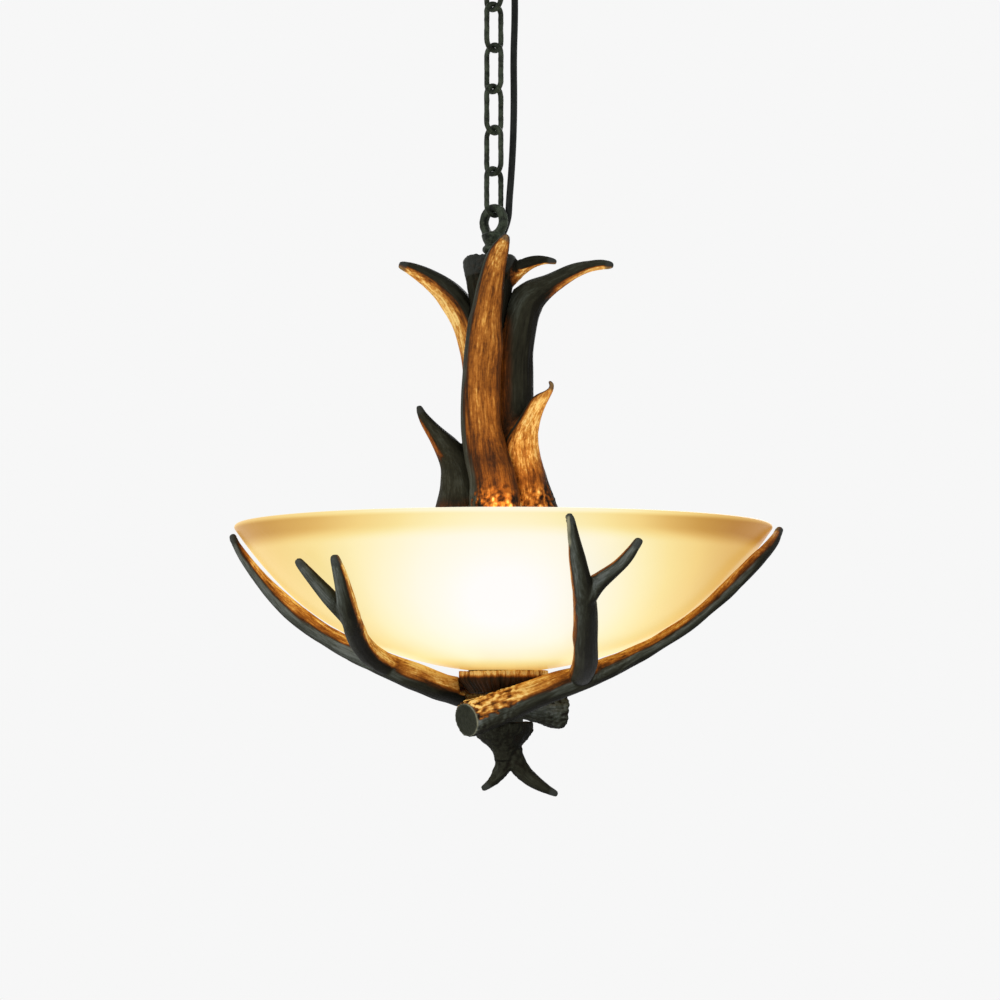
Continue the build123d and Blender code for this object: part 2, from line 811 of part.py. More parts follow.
cover_top_z = cluster_bottom_z + cover_spigot
with BuildPart() as cluster_cover:
    with BuildSketch(Plane.XY.offset(cluster_bottom_z)):
        with Locations((bowl_x, 0)):
            Circle(cluster_r)
    extrude(amount=-cover_gauge)
    with BuildSketch(Plane.XY.offset(cluster_bottom_z)):
        with Locations((bowl_x, 0)):
            Circle(cluster_r - cluster_wall - thread_gap)
    extrude(amount=cover_spigot)
    with BuildSketch(Plane.XY.offset(cover_top_z)):
        with Locations((bowl_x, 0)):
            Circle(rod_r + thread_gap)
    extrude(amount=-cover_spigot - cover_gauge, mode=Mode.SUBTRACT)
save(cluster_cover.part, "cluster_cover")

rod_nut_top_z = cover_top_z + thin_nut_height
rod_nut = hex_nut(rod_nut_top_z, m10_nut_across, thin_nut_height, rod_r + thread_gap, bowl_x)
save(rod_nut, "rod_nut")

with BuildPart() as centre_rod:
    with BuildSketch(Plane.XY.offset(rod_end_z)):
        with Locations((bowl_x, 0)):
            Circle(rod_r)
    extrude(amount=rod_nut_top_z - rod_end_z)
save(centre_rod.part, "centre_rod")

# Lamp holders on their nipples, with a spring contact and a pair of leads each
holder_end = holder_start + holder_length
contact_reach = cap_seat - cap_tip - contact_gauge
with BuildPart() as lamp_leads:
    for angle in holder_angles:
        for lead_side in (-1, 1):
            with BuildSketch(spoke_plane(angle, holder_nipple_inner, holder_z)):
                with Locations((lead_side * (lead_r + bore_gap / 2), 0)):
                    Circle(lead_r)
            extrude(amount=contact_reach - holder_nipple_inner)
save(lamp_leads.part, "lamp_leads")

with BuildPart() as holder_nipples:
    for angle in holder_angles:
        with BuildSketch(spoke_plane(angle, holder_nipple_inner, holder_z)):
            Circle(nipple_r)
            Circle(nipple_bore_r, mode=Mode.SUBTRACT)
        extrude(amount=holder_start + holder_nipple_engaged - holder_nipple_inner)
save(holder_nipples.part, "holder_nipples")

with BuildPart() as holder_contacts:
    for angle in holder_angles:
        with BuildSketch(spoke_plane(angle, contact_reach, holder_z)):
            Circle(contact_r)
        extrude(amount=contact_gauge)
save(holder_contacts.part, "holder_contacts")

for number, angle in enumerate(holder_angles, start=1):
    tag = "_" + str(number)
    with BuildPart() as lamp_holder:
        with BuildSketch(spoke_plane(angle, holder_start, holder_z)):
            Circle(holder_r)
        extrude(amount=holder_length)
        with BuildSketch(spoke_plane(angle, holder_end, holder_z)):
            Circle(cap_r + running_slack)
        extrude(amount=-holder_length + holder_back, mode=Mode.SUBTRACT)
        with BuildSketch(spoke_plane(angle, holder_start, holder_z)):
            Circle(nipple_r + thread_gap)
        extrude(amount=holder_nipple_engaged, mode=Mode.SUBTRACT)
        with BuildSketch(spoke_plane(angle, holder_start, holder_z)):
            Circle(nipple_bore_r)
        extrude(amount=holder_back, mode=Mode.SUBTRACT)
    save(lamp_holder.part, "lamp_holder" + tag)

    with BuildPart() as bulb_cap:
        with BuildSketch(spoke_plane(angle, cap_seat, holder_z)):
            Circle(cap_r)
        extrude(amount=cap_length)
        with BuildSketch(spoke_plane(angle, cap_seat + cap_length, holder_z)):
            Circle(cap_r - cap_wall)
        extrude(amount=-cap_length + cap_tip, mode=Mode.SUBTRACT)
        with BuildSketch(spoke_plane(angle, cap_seat, holder_z)):
            Circle(cap_tip_r)
        extrude(amount=-cap_tip)
    save(bulb_cap.part, "bulb_cap" + tag)

    bulb_start = cap_seat + cap_length - bulb_in_cap
    bulb_end = bulb_start + bulb_in_cap + bulb_length
    spoke = spoke_plane(angle, 0, holder_z)
    with BuildPart() as bulb_glass:
        with BuildSketch(Plane(origin=spoke.origin, x_dir=spoke.z_dir, z_dir=(0, 0, -1))):
            with BuildLine():
                Line((bulb_start, 0), (bulb_start, bulb_neck_r))
                Line((bulb_start, bulb_neck_r), (bulb_start + bulb_in_cap, bulb_neck_r))
                Spline(
                    (bulb_start + bulb_in_cap, bulb_neck_r),
                    (bulb_end - bulb_r, bulb_r),
                    tangents=((1, bulb_neck_flare), (1, 0)),
                )
                RadiusArc((bulb_end - bulb_r, bulb_r), (bulb_end, 0), bulb_r)
                Line((bulb_end, 0), (bulb_start, 0))
            make_face()
        revolve(axis=Axis(spoke.origin, spoke.z_dir))
        neck_face = bulb_glass.faces().sort_by(Axis(spoke.origin, spoke.z_dir))[0]
        offset(amount=-bulb_wall, openings=neck_face)
    save(bulb_glass.part, "bulb_glass" + tag)


def glass_height(reach, radius):
    """How far the sphere's lower face lies above or below the rim at a reach from the bowl's axis."""
    return sphere_rise - sqrt(radius**2 - reach**2)


# The glass bowl: an even shell of a sphere, bored at the bottom, its rim edges rounded
inner_rim = sqrt(inner_r**2 - sphere_rise**2)
half_reach = bowl_r / 2
with BuildPart() as glass_bowl:
    with BuildSketch(side_plane(bowl_x, rim_z)):
        with BuildLine():
            outer_low = (bowl_hole_r, glass_height(bowl_hole_r, sphere_r))
            outer_mid = (half_reach, glass_height(half_reach, sphere_r))
            inner_low = (bowl_hole_r, glass_height(bowl_hole_r, inner_r))
            inner_mid = (half_reach, glass_height(half_reach, inner_r))
            ThreePointArc(outer_low, outer_mid, (bowl_r, 0))
            Line((bowl_r, 0), (inner_rim, 0))
            ThreePointArc((inner_rim, 0), inner_mid, inner_low)
            Line(inner_low, outer_low)
        make_face()
    revolve(axis=bowl_axis)
    fillet(glass_bowl.edges().group_by(Axis.Z)[-1], rim_round)
save(glass_bowl.part, "glass_bowl")


def ball(radius):
    """A ball about the centre of the glass's sphere, to shape what seats on the glass."""
    with BuildPart() as solid:
        with Locations(sphere_centre):
            Sphere(radius)
    return solid.part


# Inside the glass: gasket, washer and nut on the rod
inner_cut = ball(inner_r - thread_gap)
with BuildPart() as inner_gasket:
    with BuildSketch(Plane.XY.offset(clamp_washer_z)):
        with Locations((bowl_x, 0)):
            Circle(inner_gasket_r)
            Circle(rod_r + bore_gap, mode=Mode.SUBTRACT)
    extrude(amount=-inner_gasket_gauge * 2)
    add(inner_cut, mode=Mode.INTERSECT)
save(inner_gasket.part, "inner_gasket")

with BuildPart() as clamp_washer:
    with BuildSketch(Plane.XY.offset(clamp_washer_z)):
        with Locations((bowl_x, 0)):
            Circle(clamp_washer_r)
            Circle(rod_r + bore_gap, mode=Mode.SUBTRACT)
    extrude(amount=clamp_washer_gauge)
save(clamp_washer.part, "clamp_washer")

clamp_nut_top_z = clamp_washer_z + clamp_washer_gauge + m10_nut_height
clamp_nut = hex_nut(clamp_nut_top_z, m10_nut_across, m10_nut_height, rod_r + thread_gap, bowl_x)
save(clamp_nut, "clamp_nut")

# Under the glass: gasket and toothed rosette
outer_cut = ball(sphere_r + thread_gap)
gasket_cut = ball(sphere_r + outer_gasket_gauge)
with BuildPart() as outer_gasket:
    with BuildSketch(Plane.XY.offset(glass_bottom_z - outer_gasket_gauge * 2)):
        with Locations((bowl_x, 0)):
            Circle(outer_gasket_r)
            Circle(rod_r + bore_gap, mode=Mode.SUBTRACT)
    extrude(amount=outer_gasket_blank)
    add(gasket_cut, mode=Mode.INTERSECT)
    add(outer_cut, mode=Mode.SUBTRACT)
save(outer_gasket.part, "outer_gasket")

with BuildPart() as hub_rosette:
    with BuildSketch(Plane.XY.offset(rosette_bottom_z)):
        with Locations((bowl_x, 0)):
            Circle(rosette_r)
            with PolarLocations(rosette_r, rosette_teeth):
                Circle(rosette_tooth_r)
            Circle(rod_r + bore_gap, mode=Mode.SUBTRACT)
    extrude(amount=rosette_below + outer_gasket_gauge * 2)
    add(gasket_cut, mode=Mode.SUBTRACT)
save(hub_rosette.part, "hub_rosette")

# Bracket under the rosette: a web, a strap to the back, and a flange for each antler
arm_seats = {"front": -arm_front_seat, "back": arm_back_seat, "far": arm_far_seat}
web_left = bowl_x + arm_bracket_left
web_right = bowl_x + arm_bracket_right
strap_left = bowl_x + arm_strap_left
screw_columns = {
    "front": (web_left + arm_screw_inset, web_right - arm_screw_inset),
    "back": (web_left + arm_screw_inset, web_right - arm_screw_inset),
    "far": (strap_left + arm_screw_inset, web_right - arm_screw_inset),
}
with BuildPart() as arm_bracket:
    with BuildSketch(Plane.XY.offset(rosette_bottom_z)):
        with BuildLine():
            Polyline(
                (web_left, -arm_front_seat),
                (web_right, -arm_front_seat),
                (web_right, arm_far_seat),
                (strap_left, arm_far_seat),
                (strap_left, arm_back_seat),
                (web_left, arm_back_seat),
                close=True,
            )
        make_face()
    extrude(amount=-arm_bracket_gauge)
    for place, seat in arm_seats.items():
        inward = arm_bracket_gauge if seat < 0 else -arm_bracket_gauge
        left = strap_left if place == "far" else web_left
        with BuildSketch(Plane.XY.offset(rosette_bottom_z)):
            with Locations(((left + web_right) / 2, seat + inward / 2)):
                Rectangle(web_right - left, arm_bracket_gauge)
        extrude(amount=-arm_flange_drop)
        with BuildSketch(Plane.XZ.offset(-seat)):
            with Locations(*[(column, arm_screw_z) for column in screw_columns[place]]):
                Circle(arm_screw_r + thread_gap)
        extrude(amount=-inward, mode=Mode.SUBTRACT)
    with BuildSketch(Plane.XY.offset(rosette_bottom_z)):
        with Locations((bowl_x, 0)):
            Circle(rod_r + bore_gap)
    extrude(amount=-arm_bracket_gauge, mode=Mode.SUBTRACT)
save(arm_bracket.part, "arm_bracket")

arm_nut = hex_nut(arm_web_bottom_z, m10_nut_across, m10_nut_height, rod_r + thread_gap, bowl_x)
save(arm_nut, "arm_nut")

with BuildPart() as arm_screws:
    for place, seat in arm_seats.items():
        inward = arm_bracket_gauge if seat < 0 else -arm_bracket_gauge
        outward = -1 if seat < 0 else 1
        for column in screw_columns[place]:
            head_plane = Plane(origin=(column, seat + inward, arm_screw_z), z_dir=(0, outward, 0))
            with BuildSketch(head_plane):
                Circle(arm_screw_head_r)
            extrude(amount=-arm_screw_head)
            with BuildSketch(head_plane):
                Circle(arm_screw_r)
            extrude(amount=arm_screw_length)
save(arm_screws.part, "arm_screws")

# What every antler root must clear: the rosette, the bracket and the straps' way to the back
with BuildPart() as hub_room:
    with BuildSketch(Plane.XY.offset(rosette_bottom_z - seat_gap)):
        with Locations((bowl_x, 0)):
            Circle(rosette_r + rosette_tooth_r + seat_gap)
    extrude(amount=root_clear_height)
    with BuildSketch(Plane.XY.offset(arm_web_bottom_z - seat_gap)):
        with BuildLine():
            Polyline(
                (strap_left - seat_gap, 0),
                (web_right + seat_gap, 0),
                (web_right + seat_gap, arm_far_seat),
                (strap_left - seat_gap, arm_far_seat),
                close=True,
            )
        make_face()
    extrude(amount=rosette_below)
    with BuildSketch(Plane.XY.offset(rosette_bottom_z)):
        with Locations(((web_left + web_right) / 2, (arm_back_seat - arm_front_seat) / 2)):
            Rectangle(web_right - web_left + rosette_r, arm_back_seat + arm_front_seat)
    extrude(amount=-root_clear_depth)

far_block_width = rosette_r * 2
with BuildPart() as far_room:
    with BuildSketch(Plane.XY.offset(glass_bottom_z)):
        with Locations((bowl_x, 0)):
            Rectangle(far_block_width, arm_far_seat * 2)
    extrude(amount=-far_clear_depth)


def bowl_antler(limbs, room, place):
    """Joins an antler's limbs, cuts its seat on the bracket and drills its two screw holes."""
    seat = arm_seats[place]
    outward = -1 if seat < 0 else 1
    with BuildPart() as antler:
        for horn in limbs:
            add(horn)
        add(room, mode=Mode.SUBTRACT)
        for column in screw_columns[place]:
            with BuildSketch(Plane(origin=(column, seat, arm_screw_z), z_dir=(0, outward, 0))):
                Circle(arm_screw_r + thread_gap)
            extrude(amount=arm_screw_length - arm_bracket_gauge + seat_gap, mode=Mode.SUBTRACT)
    return antler.part


right_arm_beam = limb(
    under_bowl(
        [
            (-38, -40, 42.2, 14.2),
            (-20, -40, 35.5, 14.2),
            (-6, -40.5, 30.5, 13.2),
            (20, -40, 20.5, 11.9),
        ]
    )
    + round_bowl(
        [
            (-41, 20, 5.4, 11.6),
            (-32, 28, 5.2, 9.7),
            (-23, 36, 3.7, 8.5),
            (-17, 46, 3.0, 7.0),
            (-16.5, 58, 3.2, 6.1),
            (-17, 67, 3.4, 5.7),
            (-17.4, 76, 2.4, 6.3),
            (-16.4, 84, 2.2, 6.4),
            (-11.6, 91, 2.4, 5.3),
            (-6.4, 97, 2.8, 3.7),
            (-4.4, 99.4, 3.0, 2.2),
        ]
    ),
    sphere_centre,
)
right_arm_fork = limb(
    round_bowl(
        [
            (-31, 27, 4.0, 8.6),
            (-43, 31, 4.5, 9.8),
            (-53, 39, 5.0, 10.0),
            (-61.5, 50, 5.0, 9.8),
            (-67.5, 63, 4.2, 9.4),
            (-71, 73.5, 4.0, 8.4),
            (-74, 83, 4.0, 6.5),
            (-76.2, 92, 4.0, 4.5),
            (-77.4, 97.2, 4.0, 3.2),
            (-77.8, 98.4, 4.0, 2.1),
        ]
    ),
    sphere_centre,
)
right_arm_tine = limb(
    round_bowl(
        [
            (-70, 70, 4.4, 7.7),
            (-69.2, 75, 4.0, 8.2),
            (-67.6, 77.7, 4.0, 6.8),
            (-65.7, 80.2, 4.0, 5.6),
            (-63.9, 83.7, 4.0, 4.8),
            (-62.6, 87.3, 4.0, 4.2),
            (-61.8, 89.9, 4.0, 3.3),
            (-61.4, 91, 4.0, 2.1),
        ]
    ),
    sphere_centre,
)
left_arm_beam = limb(
    under_bowl(
        [
            (50, 36, 31, 15.6),
            (40, 33, 30, 15.2),
            (26, 30, 27.5, 13.2),
            (2, 27, 23.5, 12.5),
            (-26, 17, 18.5, 12.0),
        ]
    )
    + round_bowl(
        [
            (-170, 19.5, 5.0, 11.5),
            (-160, 29, 3.4, 11.0),
            (-162, 38.5, 2.8, 10.2),
            (-171, 47.5, 2.7, 9.2),
            (-177.5, 56, 2.7, 8.5),
            (-178, 67, 2.9, 8.1),
            (-178, 77, 2.9, 6.8),
            (-177.5, 85, 2.9, 5.3),
            (-177, 91, 2.8, 4.3),
            (-176.5, 95, 2.6, 3.2),
            (-176, 97, 2.4, 2.1),
        ]
    ),
    sphere_centre,
)
left_arm_fork = limb(
    round_bowl(
        [
            (-162, 33, 4.0, 9.2),
            (-154, 43, 4.2, 9.0),
            (-144.4, 53.6, 4.4, 8.2),
            (-136.5, 63.4, 4.6, 7.9),
            (-132.7, 70.8, 4.4, 7.2),
            (-130.4, 77, 4.2, 6.0),
            (-129.4, 81.5, 4.0, 4.9),
            (-129.1, 84.6, 4.0, 3.4),
            (-129, 85.8, 4.0, 2.2),
        ]
    ),
    sphere_centre,
)
left_arm_tine = limb(
    round_bowl(
        [
            (-138, 61, 5.0, 6.2),
            (-138.2, 67.4, 4.4, 6.8),
            (-138.3, 72.3, 4.2, 6.4),
            (-139, 75.9, 4.0, 5.7),
            (-139.6, 79.2, 4.0, 5.1),
            (-140.4, 82.1, 4.0, 4.1),
            (-141.1, 83.9, 4.0, 3.1),
            (-141.7, 84.8, 4.0, 2.1),
        ]
    ),
    sphere_centre,
)
back_arm_beam = limb(
    under_bowl([(5, 44, 27.5, 12.5), (5, 60, 24, 12.2)])
    + round_bowl(
        [
            (92, 29, 4.0, 11.2),
            (98, 39, 3.2, 10.4),
            (105, 50, 3.0, 9.4),
            (110, 62, 3.0, 8.5),
            (112, 74, 3.2, 7.4),
            (112, 85, 3.6, 5.8),
            (111, 93, 3.6, 3.8),
            (110.5, 97.4, 3.4, 1.7),
        ]
    ),
    sphere_centre,
)
back_arm_fork = limb(
    round_bowl(
        [
            (95, 30, 4.0, 9.0),
            (86, 39, 4.2, 9.4),
            (74, 52, 4.6, 9.2),
            (65, 65, 4.2, 8.6),
            (60, 76, 4.0, 7.0),
            (57, 86, 4.0, 4.8),
            (55.5, 92.4, 4.0, 2.6),
            (55, 94, 4.0, 1.4),
        ]
    ),
    sphere_centre,
)
back_arm_tine = limb(
    round_bowl(
        [
            (73, 55, 5.0, 7.0),
            (75, 63, 4.2, 7.6),
            (78, 71, 4.0, 6.4),
            (82, 78, 4.0, 4.6),
            (84.6, 82.6, 4.0, 2.6),
            (85.4, 84, 4.0, 1.3),
        ]
    ),
    sphere_centre,
)
right_arm_limbs = [right_arm_beam, right_arm_fork, right_arm_tine]
sawn_x, sawn_y, sawn_drop = sawn_face
sawn_point = Vector(bowl_x + sawn_x, sawn_y, glass_bottom_z - sawn_drop)
with BuildPart() as right_arm:
    add(bowl_antler(right_arm_limbs, hub_room.part, "front"))
    split(bisect_by=Plane(origin=sawn_point, z_dir=sawn_direction), keep=Keep.TOP)
arm_antler_right = right_arm.part
save(arm_antler_right, "arm_antler_right")
arm_antler_left = bowl_antler([left_arm_beam, left_arm_fork, left_arm_tine], hub_room.part, "back")
save(arm_antler_left, "arm_antler_left")
arm_antler_back = bowl_antler([back_arm_beam, back_arm_fork, back_arm_tine], far_room.part, "far")
save(arm_antler_back, "arm_antler_back")

# Finial: a flange, a neck and two curling tines, on a threaded insert below a spacer
finial_left = limb(
    under_bowl(
        [
            (3.5, 0, 56, 9.0),
            (2.5, 0, 68, 8.4),
            (-0.5, 0, 78, 6.8),
            (-5, 0, 85.5, 5.2),
            (-10.5, 0, 91.5, 4.0),
            (-15, 0, 94.8, 2.7),
            (-17, 0, 95.8, 1.4),
        ]
    )
)
finial_right = limb(
    under_bowl(
        [
            (5.5, 0, 56, 9.0),
            (8, 0, 68, 8.6),
            (13, 0, 77.5, 7.4),
            (19.5, 0, 85, 6.5),
            (27.5, 0, 91.4, 5.4),
            (35.5, 0, 96.4, 4.0),
            (41.5, 0, 99.4, 2.6),
            (44, 0, 100.4, 1.4),
        ]
    )
)
with BuildPart() as finial:
    with BuildSketch(side_plane(bowl_x, finial_top_z)):
        with BuildLine():
            outline = [(radius, -drop) for radius, drop in finial_rows]
            Polyline((0, 0), *outline, (0, outline[-1][1]), close=True)
        make_face()
    revolve(axis=bowl_axis)
    add(finial_left)
    add(finial_right)
    with BuildSketch(Plane.XY.offset(finial_top_z)):
        with Locations((bowl_x, 0)):
            Circle(finial_insert_r)
    extrude(amount=-finial_insert_length, mode=Mode.SUBTRACT)
save(finial.part, "finial")

with BuildPart() as finial_insert:
    with BuildSketch(Plane.XY.offset(finial_top_z)):
        with Locations((bowl_x, 0)):
            Circle(finial_insert_r)
            Circle(rod_r + thread_gap, mode=Mode.SUBTRACT)
    extrude(amount=-finial_insert_length)
save(finial_insert.part, "finial_insert")

with BuildPart() as finial_spacer:
    with BuildSketch(Plane.XY.offset(arm_web_bottom_z - m10_nut_height)):
        with Locations((bowl_x, 0)):
            Circle(finial_spacer_r)
            Circle(rod_r + bore_gap, mode=Mode.SUBTRACT)
    extrude(amount=finial_top_z - arm_web_bottom_z + m10_nut_height)
save(finial_spacer.part, "finial_spacer")

print("rim height", round(rim_z, 2), "glass sphere", round(sphere_r, 2), "link pitch", link_pitch)
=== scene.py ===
"""Dresses the ceiling pendant: carved antler, frosted glass, cast bronze and its cord."""

import math

import bpy
import numpy as np
from bpy.props import FloatProperty, FloatVectorProperty, IntProperty, PointerProperty
from mathutils import Matrix, Vector


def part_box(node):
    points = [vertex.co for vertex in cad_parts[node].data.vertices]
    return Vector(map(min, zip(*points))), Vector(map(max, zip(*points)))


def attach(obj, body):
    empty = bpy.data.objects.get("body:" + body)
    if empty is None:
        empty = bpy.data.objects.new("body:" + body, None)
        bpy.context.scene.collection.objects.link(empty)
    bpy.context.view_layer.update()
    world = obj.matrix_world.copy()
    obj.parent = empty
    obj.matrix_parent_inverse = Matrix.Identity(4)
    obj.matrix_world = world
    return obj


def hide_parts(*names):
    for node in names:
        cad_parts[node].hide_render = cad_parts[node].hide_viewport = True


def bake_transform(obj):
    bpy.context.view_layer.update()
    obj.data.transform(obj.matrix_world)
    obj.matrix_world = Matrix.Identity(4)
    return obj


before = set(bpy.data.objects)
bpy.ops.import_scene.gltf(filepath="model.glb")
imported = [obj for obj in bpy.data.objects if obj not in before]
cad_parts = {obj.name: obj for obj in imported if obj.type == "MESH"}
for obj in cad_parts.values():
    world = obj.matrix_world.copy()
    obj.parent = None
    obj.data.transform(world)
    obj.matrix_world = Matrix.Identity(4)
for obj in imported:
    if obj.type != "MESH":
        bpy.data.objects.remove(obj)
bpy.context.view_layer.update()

bl_info = {
    "name": "Antler Pendant",
    "version": (1, 0, 0),
    "blender": (4, 5, 0),
    "location": "View3D > Sidebar > Pendant",
    "description": "Builds the looks of a ceiling pendant around its packed frame",
    "category": "Object",
}

MM = 0.001

# Places that the frame and these looks share, in millimetres
RIM_Z = -528.0
TRUNK_HEIGHT = 225.5
BOWL_X = 8.0
BOWL_R = 225.0
SPHERE_R = 269.08
GLASS_WALL = 5.0
SPHERE_Z = -380.42
GLASS_BOTTOM_Z = -649.5
RIM_ANGLE = math.asin(BOWL_R / SPHERE_R)

# Bulbs: their azimuths, how far out the bright spots and the lamps sit, and the lamps' drop
BULB_TURNS = (270, 30, 150)
SPOT_REACH = 165
LAMP_REACH = 70
LAMP_DROP = 8

# Points nearer than this, in metres, are joined
WELD = 1e-6


def round_axis(reach, turn):
    """A place this far from the bowl's axis at this azimuth: its x and y in metres."""
    turn = math.radians(turn)
    return (BOWL_X + reach * math.cos(turn)) * MM, reach * math.sin(turn) * MM


# Horns' centre lines
def on_trunk(rows):
    """Stations up the trunk: x and y from the tube, hundredths of the trunk's height, radius."""
    return [((x, y, RIM_Z + share / 100 * TRUNK_HEIGHT), r) for x, y, share, r in rows]


def under_bowl(rows):
    """Stations under the glass: x and y from the bowl's axis, drop, radius."""
    return [((BOWL_X + x, y, GLASS_BOTTOM_Z - drop), r) for x, y, drop, r in rows]


def round_bowl(rows):
    """Stations along the glass: azimuth, hundredths of the climb to the rim, gap, radius."""
    stations = []
    for azimuth, climb, gap, radius in rows:
        polar = climb / 100 * RIM_ANGLE
        turn = math.radians(azimuth)
        reach = SPHERE_R + gap + radius
        x = BOWL_X + reach * math.sin(polar) * math.cos(turn)
        y = reach * math.sin(polar) * math.sin(turn)
        stations.append(((x, y, SPHERE_Z - reach * math.cos(polar)), radius))
    return stations


FRONT_BEAM = on_trunk(
    [
        (-3, -27, -10, 17.0), (-2.5, -26.5, 6, 17.6), (-8.4, -18.4, 26, 15.4), (-12, -15, 50, 14.3),
        (-6.2, -17.4, 77, 13.3), (2, -24.5, 97, 9.2), (10.4, -26, 106.0, 1.8),
    ]
)
RIGHT_BEAM = on_trunk(
    [
        (30, 2.5, -10, 21.0), (25, 3, 17, 19.5), (15.8, 4, 40, 17.8), (16, 4, 63, 17.3),
        (22.8, 3, 80, 17.2), (33.5, 3, 86.2, 13.2), (48, 3, 90.2, 8.6), (82, 4, 97.0, 4.9),
        (99.5, 4, 97.2, 1.5),
    ]
)
RIGHT_BROW = on_trunk(
    [
        (29, -3, 4, 16.4), (27, -5, 16, 16.5), (24, -14, 30, 13), (31, -22, 39.4, 8.0),
        (42, -27, 47.6, 4.6), (46.5, -28.5, 51.8, 1.4),
    ]
)
LEFT_BEAM = on_trunk(
    [
        (-9, 20, -10, 20.0), (-10, 18.5, 20, 17.5), (-9.5, 17, 57, 15.8), (-25, 14.5, 79.5, 13.0),
        (-49, 13.5, 91.2, 8.9), (-79, 12, 97.8, 2.0),
    ]
)
LEFT_BROW = on_trunk(
    [
        (-26, 13, -10, 20.0), (-27, 13.5, 17, 18.2), (-42, 12, 31, 9.4), (-57.5, 10, 39.8, 4.6),
        (-62.6, 10, 44.6, 1.3),
    ]
)
CROWN_CORE = on_trunk([(-3, 0, 74, 15), (-3, 0, 90, 19), (-3, 0, 98, 23)])
CROWN_TINE = on_trunk(
    [
        (7, 2, 90.5, 8.4), (22, -6, 95.3, 6.6), (41, -11, 98.0, 3.8), (51.5, -12, 97.2, 1.2),
    ]
)
RIGHT_ARM_BEAM = under_bowl(
    [(-38, -40, 42.2, 14.2), (-20, -40, 35.5, 14.2), (-6, -40.5, 30.5, 13.2), (20, -40, 20.5, 11.9)]
) + round_bowl(
    [
        (-41, 20, 5.4, 11.6), (-32, 28, 5.2, 9.7), (-23, 36, 3.7, 8.5), (-16.5, 58, 3.2, 6.1),
        (-17.4, 76, 2.4, 6.3), (-11.6, 91, 2.4, 5.3), (-4.4, 99.4, 3.0, 2.2),
    ]
)
RIGHT_ARM_FORK = round_bowl(
    [
        (-31, 27, 4.0, 8.6), (-53, 39, 5.0, 10.0), (-67.5, 63, 4.2, 9.4), (-74, 83, 4.0, 6.5),
        (-77.8, 98.4, 4.0, 2.1),
    ]
)
RIGHT_ARM_TINE = round_bowl(
    [
        (-70, 70, 4.4, 7.7), (-67.6, 77.7, 4.0, 6.8), (-63.9, 83.7, 4.0, 4.8),
        (-61.4, 91, 4.0, 2.1),
    ]
)
LEFT_ARM_BEAM = under_bowl(
    [(50, 36, 31, 15.6), (26, 30, 27.5, 13.2), (-26, 17, 18.5, 12.0)]
) + round_bowl(
    [
        (-170, 19.5, 5.0, 11.5), (-160, 29, 3.4, 11.0), (-162, 38.5, 2.8, 10.2),
        (-177.5, 56, 2.7, 8.5), (-178, 77, 2.9, 6.8), (-176, 97, 2.4, 2.1),
    ]
)
LEFT_ARM_FORK = round_bowl(
    [
        (-162, 33, 4.0, 9.2), (-154, 43, 4.2, 9.0), (-144.4, 53.6, 4.4, 8.2),
        (-132.7, 70.8, 4.4, 7.2), (-129, 85.8, 4.0, 2.2),
    ]
)
LEFT_ARM_TINE = round_bowl(
    [
        (-138, 61, 5.0, 6.2), (-138.3, 72.3, 4.2, 6.4), (-141.7, 84.8, 4.0, 2.1),
    ]
)
BACK_ARM_BEAM = under_bowl([(5, 44, 27.5, 12.5), (5, 60, 24, 12.2)]) + round_bowl(
    [
        (92, 29, 4.0, 11.2), (105, 50, 3.0, 9.4), (112, 74, 3.2, 7.4), (110.5, 97.4, 3.4, 1.7),
    ]
)
BACK_ARM_FORK = round_bowl(
    [
        (95, 30, 4.0, 9.0), (74, 52, 4.6, 9.2), (60, 76, 4.0, 7.0), (55, 94, 4.0, 1.4),
    ]
)
BACK_ARM_TINE = round_bowl(
    [
        (73, 55, 5.0, 7.0), (78, 71, 4.0, 6.4), (85.4, 84, 4.0, 1.3),
    ]
)
FINIAL_CORE = under_bowl([(0, 0, 41, 24), (0, 0, 52, 20), (0, 0, 70, 10)])
FINIAL_LEFT = under_bowl(
    [
        (3.5, 0, 56, 9.0), (-0.5, 0, 78, 6.8), (-10.5, 0, 91.5, 4.0), (-17, 0, 95.8, 1.4),
    ]
)
FINIAL_RIGHT = under_bowl(
    [
        (5.5, 0, 56, 9.0), (13, 0, 77.5, 7.4), (27.5, 0, 91.4, 5.4), (44, 0, 100.4, 1.4),
    ]
)
ROSETTE_CORE = under_bowl([(0, 0, 4, 30), (0, 0, 60, 30)])

# Where the right arm's root is sawn off: a point in millimetres and the way into the horn
SAWN_POINT = (BOWL_X - 37.5, -27, GLASS_BOTTOM_Z - 44)
SAWN_INWARD = (0.80, 0.55, 0.25)


# Small mesh tools
def alone(thing=None):
    """Deselects everything, then selects and activates one object if it is given."""
    bpy.ops.object.select_all(action="DESELECT")
    if thing:
        thing.select_set(True)
        bpy.context.view_layer.objects.active = thing


def applied(thing, kind, **settings):
    """Adds a modifier with these settings and applies it."""
    alone(thing)
    modifier = thing.modifiers.new(kind.lower(), kind)
    for name, value in settings.items():
        setattr(modifier, name, value)
    bpy.ops.object.modifier_apply(modifier=modifier.name)


def merged_copy(node, name):
    """A copy of a frame node as an object of its own, with its loose triangles joined."""
    thing = bpy.data.objects.new(name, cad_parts[node].data.copy())
    bpy.context.scene.collection.objects.link(thing)
    thing.data.materials.clear()
    alone(thing)
    bpy.ops.object.mode_set(mode="EDIT")
    bpy.ops.mesh.select_all(action="SELECT")
    bpy.ops.mesh.remove_doubles(threshold=WELD)
    bpy.ops.mesh.customdata_custom_splitnormals_clear()
    bpy.ops.object.mode_set(mode="OBJECT")
    return thing


